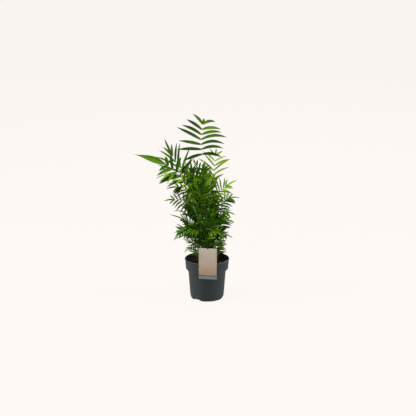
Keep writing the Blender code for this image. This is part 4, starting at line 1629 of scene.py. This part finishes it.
BRIGHT_RIBS = place_listed(ROOM, BRIGHT_FRONDS, "bright", BRIGHT_SEED, fine_space)
FINE_RIBS = place_fine(ROOM)
print("bright fronds:", len(BRIGHT_RIBS), "finer fronds and sprigs:", len(FINE_RIBS))

# %% [markdown]
# ## Stems, sheaths and ribs
#
# A young palm's stem is ringed where old fronds have dropped, and each frond clasps it with a sheath that
# splits open on the side where the stalk leaves. Stems, sheaths and ribs are all tubes, made of rings of
# points.

# %% Stems with rings
RING_SEED = SEED + 50
STEM_SIDES = 16
RING_PITCH = 0.011
RING_STEPS = 6
RING_SHARPNESS = 6
RING_HEIGHT = 0.00022
STEM_DENT = 0.00012
STEM_DENT_SCALE = 400
STEM_DEPTH = 0.004
STEM_DEPTH_GROWTH = 1.1
STEM_END = 0.002
STEM_END_SHARE = 0.4


def ring(middle, axis, radius, sides, wide=None, deep=1.0):
    """A ring of points about the middle, square to the axis. Its depth is this share of its width."""
    wide = wide or axis.orthogonal().normalized()
    second = axis.cross(wide).normalized()
    points = []
    for i in range(sides):
        turn = math.tau * i / sides
        points.append(middle + wide * (radius * math.cos(turn)) + second * (radius * deep * math.sin(turn)))
    return points


def make_stems():
    pile = Pile()
    rng = random.Random(RING_SEED)
    for stem in STEMS:
        rows = []
        steps = int(stem.height / RING_PITCH) * RING_STEPS
        phase = rng.random()
        for step in range(steps + 1):
            share = step / steps
            turn = (step / RING_STEPS + phase) % 1
            swell = RING_HEIGHT * max(0.0, 1 - abs(turn - 0.5) * RING_SHARPNESS)
            dent = STEM_DENT * noise.noise(stem.point(share) * STEM_DENT_SCALE)
            rows.append(ring(stem.point(share), UP, stem.radius(share) + swell + dent, STEM_SIDES))
        low = stem.point(0) - UP * STEM_DEPTH
        rows.insert(0, ring(low, UP, stem.radius(0) * STEM_DEPTH_GROWTH, STEM_SIDES))
        top = stem.point(1) + UP * STEM_END
        rows.append(ring(top, UP, STEM_TIP_RADIUS * STEM_END_SHARE, STEM_SIDES))
        pile.add_rows(rows, closed=True, caps=True)
    nodes = [f"stem_{number:02d}" for number in range(1, STEM_COUNT + 1)]
    return pile.build("stems", STEM, nodes, "stem")


print("stem faces:", len(make_stems().data.polygons))

# %% Sheaths
SHEATH_SEED = SEED + 60
SHEATH_LENGTH = 0.020
SHEATH_SIDES = 14
SHEATH_ROWS = 7
SHEATH_GAP = 0.0002
SHEATH_OPENING = 0.0016
SHEATH_RISE = 0.007
SHEATH_DIP = 0.002
SHEATH_WALL = 0.00025
FOOT_SHEATH_HEIGHT = (0.010, 0.020)
FOOT_SHEATH_RADIUS = 0.0021
FOOT_SHEATH_DEPTH = 0.004
FOOT_SHEATH_PLACE = 0.6
FOOT_SHEATH_FIT = 0.9
FOOT_SHEATH_TAPER = 0.7
RIB_FOOT_RADIUS = 0.00115


def stem_sheath(pile, stem, frond):
    """A sheath that clasps the stem below a stalk, and opens towards it."""
    tip = Vector(frond.tip)
    top = stem.point(frond.leaves)
    toward = math.atan2(tip.y - top.y, tip.x - top.x)
    rows = []
    for step in range(SHEATH_ROWS):
        share = step / (SHEATH_ROWS - 1)
        up = max(0.0, frond.leaves - (1 - share) * SHEATH_LENGTH / stem.height)
        middle = stem.point(up)
        row = []
        for i in range(SHEATH_SIDES):
            turn = math.tau * i / SHEATH_SIDES
            facing = 0.5 + 0.5 * math.cos(turn - toward)
            radius = stem.radius(up) + SHEATH_GAP + share * (SHEATH_GAP + SHEATH_OPENING * facing)
            lift = share ** 2 * (SHEATH_RISE * facing - SHEATH_DIP)
            row.append(middle + Vector((radius * math.cos(turn), radius * math.sin(turn), lift)))
        rows.append(row)
    pile.add_rows(rows, closed=True)


def foot_sheath(pile, middle, rib, rng):
    """The sheath round the foot of a seedling's stalk, which runs out along it to a point."""
    height = rng.uniform(*FOOT_SHEATH_HEIGHT)
    rows = [ring(middle - UP * FOOT_SHEATH_DEPTH, UP, FOOT_SHEATH_RADIUS, SHEATH_SIDES)]
    for step in range(SHEATH_ROWS):
        share = step / (SHEATH_ROWS - 1)
        reach = share * height / (rib.point(1) - rib.point(0)).length
        centre = middle.lerp(rib.point(reach), min(1.0, share * 2))
        radii = (FOOT_SHEATH_RADIUS, RIB_FOOT_RADIUS * FOOT_SHEATH_FIT)
        radius = between(radii, share ** FOOT_SHEATH_TAPER)
        rows.append(ring(centre, rib.direction(reach), radius, SHEATH_SIDES))
    pile.add_rows(rows, closed=True, caps=True)


def make_sheaths():
    pile = Pile()
    rng = random.Random(SHEATH_SEED)
    for rib in FROND_RIBS + BRIGHT_RIBS + FINE_RIBS:
        if rib.frond.stem >= 0:
            stem_sheath(pile, STEMS[rib.frond.stem], rib.frond)
    for middle, ribs in SEEDLINGS:
        for rib in ribs:
            foot_sheath(pile, middle.lerp(rib.point(0), FOOT_SHEATH_PLACE), rib, rng)
    for rib in FINE_RIBS:
        if rib.frond.stem < 0:
            foot_sheath(pile, rib.point(0), rib, rng)
    sheaths = pile.build("sheaths", SHEATH, slot="stem")
    wall = sheaths.modifiers.new("wall", "SOLIDIFY")
    wall.thickness = SHEATH_WALL
    return sheaths


print("sheath faces:", len(make_sheaths().data.polygons))

# %% [markdown]
# ### Rib tubes
#
# A rib is thickest at its foot and tapers to a thread, a little flattened, with a slight knuckle where
# each pair of leaflets leaves it. The four fronds at the top have the pale ribs.

# %% Rib tubes
RIB_SIDES = 8
RIB_TIP_RADIUS = 0.00042
RIB_TAPER = 0.8
RIB_FLATNESS = 0.82
RIB_STALK_STEPS = 8
RIB_PARTS = (0.0, 0.22, 0.6)
KNUCKLE_PART = 1
KNUCKLE = 0.16
RIB_FLARE = 0.35
RIB_FLARE_SHARE = 0.2


def rib_tube(pile, rib, slim):
    """A tube along the rib. The slimness scales its radius."""
    frond = rib.frond
    shares = [frond.bare * step / RIB_STALK_STEPS for step in range(RIB_STALK_STEPS)]
    for pair in range(frond.pairs):
        shares += [frond.bare + rib.pitch() * (pair + part) for part in RIB_PARTS]
    rows = []
    for number, share in enumerate(shares):
        share = min(share, 1.0)
        section = rib.section(max(share, 0.001))
        radius = between((RIB_FOOT_RADIUS, RIB_TIP_RADIUS), share ** RIB_TAPER) * slim
        if number >= RIB_STALK_STEPS and (number - RIB_STALK_STEPS) % len(RIB_PARTS) == KNUCKLE_PART:
            radius *= 1 + KNUCKLE
        radius *= 1 + RIB_FLARE * max(0.0, 1 - share / RIB_FLARE_SHARE)
        axis = rib.direction(share)
        rows.append(ring(section.middle, axis, radius, RIB_SIDES, section.across, RIB_FLATNESS))
    radius = RIB_TIP_RADIUS * 0.5 * slim
    rows.append(ring(rib.point(1.0), rib.direction(1.0), radius, RIB_SIDES, rib.section(1.0).across))
    pile.add_rows(rows, closed=True, caps=True)


print("rib tubes ready")

# %% [markdown]
# ## Leaflets
#
# A parlour palm's leaflet is a narrow lance: pinched at its foot, widest before its middle, and drawn out
# to a fine point. It is folded a little along its midrib, arches under its own weight, twists towards the
# light, and bends sideways like a sickle. Each is a thin sheet, four quads across and eight or twelve
# along, with a map for its veins. The solids' leaflets are fewer but follow the same rule, so the crown's
# outline is much the same.

# %% The shape of a leaflet
LANCE = (1.14, 0.42, 2.6)
BROAD_LANCE = (9.1, 1.2, 2.2)
TIP_HALF = 0.00004
ACROSS = (-1.0, -0.52, 0.0, 0.52, 1.0)
FOLD_FADE = (1.6, 1.1)
FOLD_CURVE = 1.3
ROOM_REACHES = (0.0, 0.35, 0.7, 1.0)
ROOM_SHARE = 0.5


@dataclass
class Leaflet:
    """One leaflet: its foot, the way it heads, its upper face, its sizes, and how it bends and twists."""

    foot: Vector
    heading: Vector
    upper: Vector
    length: float
    half: float
    sag: float
    twist: float
    sickle: float
    fold: float
    broad: bool = False

    def breadth(self, reach):
        """The half width at this share of the length. A broad one is drawn out to a longer tip."""
        if self.broad:
            scale, rise, fall = BROAD_LANCE
            return self.half * scale * max(0.0, reach) ** rise * max(0.0, 1 - reach) ** fall
        scale, foot, rise = LANCE
        return self.half * scale * (1 - reach) * (foot + rise * reach)

    def frame(self, reach):
        """The middle there, the direction along, and the upper face's direction."""
        side = self.heading.cross(self.upper)
        bend = self.sickle * math.sin(math.pi * min(1.0, reach))
        way = self.heading * reach - UP * (self.sag * reach * reach) + side * bend
        middle = self.foot + way * self.length
        along = self.heading - UP * (2 * self.sag * reach)
        along = (along + side * (self.sickle * math.pi * math.cos(math.pi * reach))).normalized()
        upper = (self.upper - along * self.upper.dot(along)).normalized()
        upper = Matrix.Rotation(self.twist * reach, 3, along) @ upper
        return middle, along, upper

    def sections(self):
        """A few plain sections, for the room that the leaflet takes."""
        found = []
        for reach in ROOM_REACHES:
            middle, along, upper = self.frame(reach)
            found.append(Section(middle, along.cross(upper), upper, self.breadth(reach) * ROOM_SHARE))
        return found

    def rows(self, steps):
        """The rows of points of the sheet, from its foot to its tip."""
        rows = []
        start, fade = FOLD_FADE
        for step in range(steps + 1):
            reach = step / steps
            middle, along, upper = self.frame(reach)
            across = along.cross(upper)
            half = max(self.breadth(reach), TIP_HALF)
            fold = self.fold * (start - fade * reach)
            rows.append([middle + across * (half * place) + upper * (half * fold * abs(place) ** FOLD_CURVE)
                         for place in ACROSS])
        return rows


print("a leaflet has", len(ACROSS) - 1, "quads across")

# %% Leaflets along a rib
SHORTEST_SHARE = 0.50
BELL_START = 0.15
TURN_SPREAD = 7
SIZE_SPREAD = 0.10
SAG_SPREAD = 0.05
TWIST_SPREAD = 26
SIDE_TWIST = 10
SICKLE = 0.035
SICKLE_SPREAD = 0.02
FOLD = 0.22
FOLD_SPREAD = 0.10


def leaflet_at(rib, pair, side, varied, extra, size=1.0, sag=0.0):
    """The leaflet on this side of this pair, or at the rib's end where side is 0."""
    frond = rib.frond
    share = pair / (frond.pairs - 1)
    bell = math.sin(math.pi * (BELL_START + (1 - BELL_START) * share))
    turn, stretch, fall = varied
    sag += frond.droop - frond.uneven * side + SAG_SPREAD * fall
    size *= 1 + SIZE_SPREAD * stretch
    if side:
        root = rib.section(frond.bare + rib.pitch() * (pair + BASE_SHARE / 2))
        foot = root.middle + root.across * (side * root.half * 0.5)
        angle = math.radians(between(frond.spread, share) + TURN_SPREAD * turn)
        length = frond.leaflet * (SHORTEST_SHARE + (1 - SHORTEST_SHARE) * bell) * size
    else:
        root = rib.section(1.0)
        foot = root.middle
        angle = 0.0
        length = frond.leaflet * frond.terminal * size
    along = root.normal.cross(root.across) * -1
    heading = along * math.cos(angle) + root.across * (side * math.sin(angle))
    lift = math.radians(frond.lift * abs(side))
    heading = heading * math.cos(lift) + root.normal * math.sin(lift)
    upper = (root.normal - heading * root.normal.dot(heading)).normalized()
    tilt, bend, folding = extra
    twist = math.radians(TWIST_SPREAD * tilt - SIDE_TWIST * side)
    sickle = SICKLE * side + SICKLE_SPREAD * bend
    fold = FOLD + FOLD_SPREAD * folding
    half = frond.width / 2 * (1 if side else frond.end_width)
    broad = not side and frond.end_width > 1
    return Leaflet(foot, heading, upper, length, half, sag, twist, sickle, fold, broad)


print("leaflet rule ready")

# %% A finer set of leaflets
SLIM_WIDTH = 0.0045
SLIM_GROWTH = 1.3
LONG_LEAFLET = 0.060
MORE_PAIRS = 1.15
LESS_WIDTH = 0.88
LEAST_TERMINAL = 0.7


def fine_rib(rib, rng):
    """The rib with one more pair or so of narrower leaflets.

    A slim frond gets longer and wider leaflets, and long leaflets and bright fronds stay as they are.
    """
    frond = rib.frond
    if frond.width < SLIM_WIDTH:
        rib.frond = replace(frond, leaflet=frond.leaflet * SLIM_GROWTH, width=frond.width * SLIM_GROWTH)
        return rib
    if frond.leaflet >= LONG_LEAFLET or rib.name.startswith("bright"):
        return rib
    finer = copy(rib)
    pairs = round(frond.pairs * MORE_PAIRS)
    terminal = max(LEAST_TERMINAL, frond.terminal)
    finer.frond = replace(frond, pairs=pairs, width=frond.width * LESS_WIDTH, terminal=terminal)
    finer.varied = [[rng.uniform(-1, 1) for _ in range(3)] for _ in range(2 * pairs + 1)]
    return finer


print("finer set: more pairs by", MORE_PAIRS, "and width by", LESS_WIDTH)

# %% [markdown]
# ### Dealing out the tints
#
# Fronds take turns in three ages, as their solids do, and each age has its own tint. Single leaflets
# stray one tint up or down, and those of low fronds more often up, as the foliage is brighter there. The
# thin right-hand frond is the palest. The tallest one carries painted light and shade: it goes from dark
# at its lowest pair to bright at its top, brightest on the right, as if lit from above and the right.

# %% Tints
TALL_LIGHT_AND_SHADE_TINTS = (
    # the tallest frond's painted light and shade, pair by pair upwards: its painted lit side, and the other
    # with its end leaflet
    (0, 1, 1, 2, 3, 3, 3),
    (0, 0, 1, 1, 1, 1, 2),
)
THIN_TINTS = (4, 5, 4)
BROAD_TINT = 2
BRIGHT_TINTS = (3, 4, 3)
LOW_BRIGHT_TINTS = (2, 3, 2)
AGE_TINTS = (1, 2, 3)
STRAY = (-1, -1, 0, 0, 1, 1)
LOW_STRAY = (-1, 0, 0, 1, 1, 1)
LOW_TIP = 0.205
YOUNGEST = 4


def tint_of(rib, number, pair, side, rng):
    """The tint of this leaflet of this rib, which has this number among its kind."""
    low = rib.frond.tip[2] < LOW_TIP
    # The tallest frond's tints are painted light and shade: darker at its low pairs, brighter at its top
    # and on its right.
    if rib.name == "frond 1":
        return TALL_LIGHT_AND_SHADE_TINTS[side >= 0][pair]
    if rib.name == "frond 2":
        return rng.choice(THIN_TINTS)
    if rib.name == "frond 3" and side == 0:
        return BROAD_TINT
    if rib.name.startswith("bright"):
        return rng.choice(LOW_BRIGHT_TINTS if low else BRIGHT_TINTS)
    stray = rng.choice(LOW_STRAY if low else STRAY)
    return max(0, min(YOUNGEST, AGE_TINTS[number % 3] + stray))


print("tints for three ages:", [LEAF_TINTS[tint][0] for tint in AGE_TINTS])

# %% Grow every leaflet
LEAFLET_TRIES = (
    # the share of its size, and how much more it sags, in the order in which they are tried
    (1, 0), (1, 0.14), (1, -0.14), (0.85, 0.26), (0.85, -0.26), (0.65, 0), (0.65, 0.20), (0.65, -0.20),
)
BLADE_THICKNESS = 0.0003
BLADE_MARGIN = 0.0001
GROUND_MARGIN = 0.011
LONG_BLADE = 0.04
BLADE_STEPS = (8, 12)
LEAFLET_SEED = SEED + 70
PALE_RIBS = {1, 2, 3, 4}
RIB_SLIMNESS = (0.95, 0.8)


def above_ground(sections):
    """Whether a strip stays well above the pot's rim, so that the compost lies open."""
    return all(section.middle.z >= POT_HEIGHT + GROUND_MARGIN for section in sections)


def fit_leaflet(rib, pair, side, extra):
    """The leaflet there, in the first way that finds room, or None."""
    varied = rib.varied[2 * pair + (side > 0)] if side else rib.varied[-1]
    for size, sag in LEAFLET_TRIES:
        leaflet = leaflet_at(rib, pair, side, varied, extra, size, sag)
        sections = leaflet.sections()
        if not above_ground(sections):
            continue
        space = ROOM.wrap(*swollen(sections, BLADE_THICKNESS, BLADE_MARGIN))
        if ROOM.is_free(space, apart_from=(rib.name,)):
            ROOM.take(rib.name, space)
            return leaflet
    return None


def all_ribs():
    """Every rib with its number among its kind, in the order in which their leaflets take room."""
    found = list(enumerate(BRIGHT_RIBS, 1)) + list(enumerate(FROND_RIBS, 1))
    found += [(number, rib) for number, (_, ribs) in enumerate(SEEDLINGS, 1) for rib in ribs]
    return found + list(enumerate(FINE_RIBS, 1))


def grow():
    leaves = [Pile() for _ in LEAF_TINTS]
    tubes = {"pale": Pile(), "green": Pile()}
    rng = random.Random(LEAFLET_SEED)
    grown = 0
    for number, placed in all_ribs():
        rib = fine_rib(placed, rng)
        pale = number in PALE_RIBS and rib.name.startswith("frond")
        rib_tube(tubes["pale" if pale else "green"], rib, RIB_SLIMNESS[number % 2])
        pairs = rib.frond.pairs
        for pair, side in [(pair, side) for pair in range(pairs) for side in (1, -1)] + [(pairs - 1, 0)]:
            extra = [rng.uniform(-1, 1) for _ in range(3)]
            tint = tint_of(rib, number, pair, side, rng)
            leaflet = fit_leaflet(rib, pair, side, extra)
            if leaflet:
                leaves[tint].add_rows(leaflet.rows(BLADE_STEPS[leaflet.length > LONG_BLADE]))
                grown += 1
    return leaves, tubes, grown


LEAF_PILES, RIB_PILES, GROWN = grow()
print("leaflets:", GROWN)

# %% Build the leaflets and ribs
LEAF_SLOTS = ("leaf_mature", "leaf_mature", "leaf_mid", "leaf_mid", "leaf_young", "leaf_young")


def make_crown():
    nodes = [f"frond_{number:02d}" for number in range(1, len(FROND_RIBS) + 1)]
    nodes += [f"seedling_{number:02d}" for number in range(1, SEEDLING_COUNT + 1)]
    for (name, *_), pile, finish, slot in zip(LEAF_TINTS, LEAF_PILES, LEAF_FINISHES, LEAF_SLOTS):
        piece = pile.build("leaflets_" + name, finish, nodes, slot)
        print(piece.name, len(piece.data.polygons), "faces")
    for name, finish in (("pale", RIB_PALE), ("green", RIB_GREEN)):
        RIB_PILES[name].build("ribs_" + name, finish, nodes, "leaf_young")


make_crown()

# %% [markdown]
# ## Floor
#
# The plant stands on a plain pale floor that runs far back, so that the camera sees nothing else behind
# it. The floor glows like a light table, which keeps it even from front to back, and only a faint shadow
# falls on it. The camera sees the full glow, but about half of it reaches the plant, so that the pot
# isn't lit from below.

# %% Floor
FLOOR_REACH = 40
FLOOR_TONE = (252, 247, 243)
FLOOR_GLOW = 0.965
FLOOR_BOUNCE = 0.45


def make_floor():
    mesh = bpy.data.meshes.new("floor")
    corners = [(x * FLOOR_REACH, y * FLOOR_REACH, 0) for x, y in ((-1, -1), (1, -1), (1, 1), (-1, 1))]
    mesh.from_pydata(corners, [], [(0, 1, 2, 3)])
    floor = new_object("floor", mesh)
    finish, tree, shader = new_finish("floor", 0.0)
    shader.inputs["Base Color"].default_value = (0.02, 0.02, 0.02, 1)
    shader.inputs["Roughness"].default_value = 1.0
    shader.inputs["Emission Color"].default_value = paint(*FLOOR_TONE)
    seen = add(tree, "LightPath").outputs["Is Camera Ray"]
    tree.links.new(between_values(tree, seen, FLOOR_BOUNCE, FLOOR_GLOW), shader.inputs["Emission Strength"])
    mesh.materials.append(finish)


make_floor()
print("floor ready")

# %% [markdown]
# ## Last update
#
# The scene is brought up to date at the end. The dressed plant has to fill the same box as its solids.

# %% Finish
bpy.context.view_layer.update()
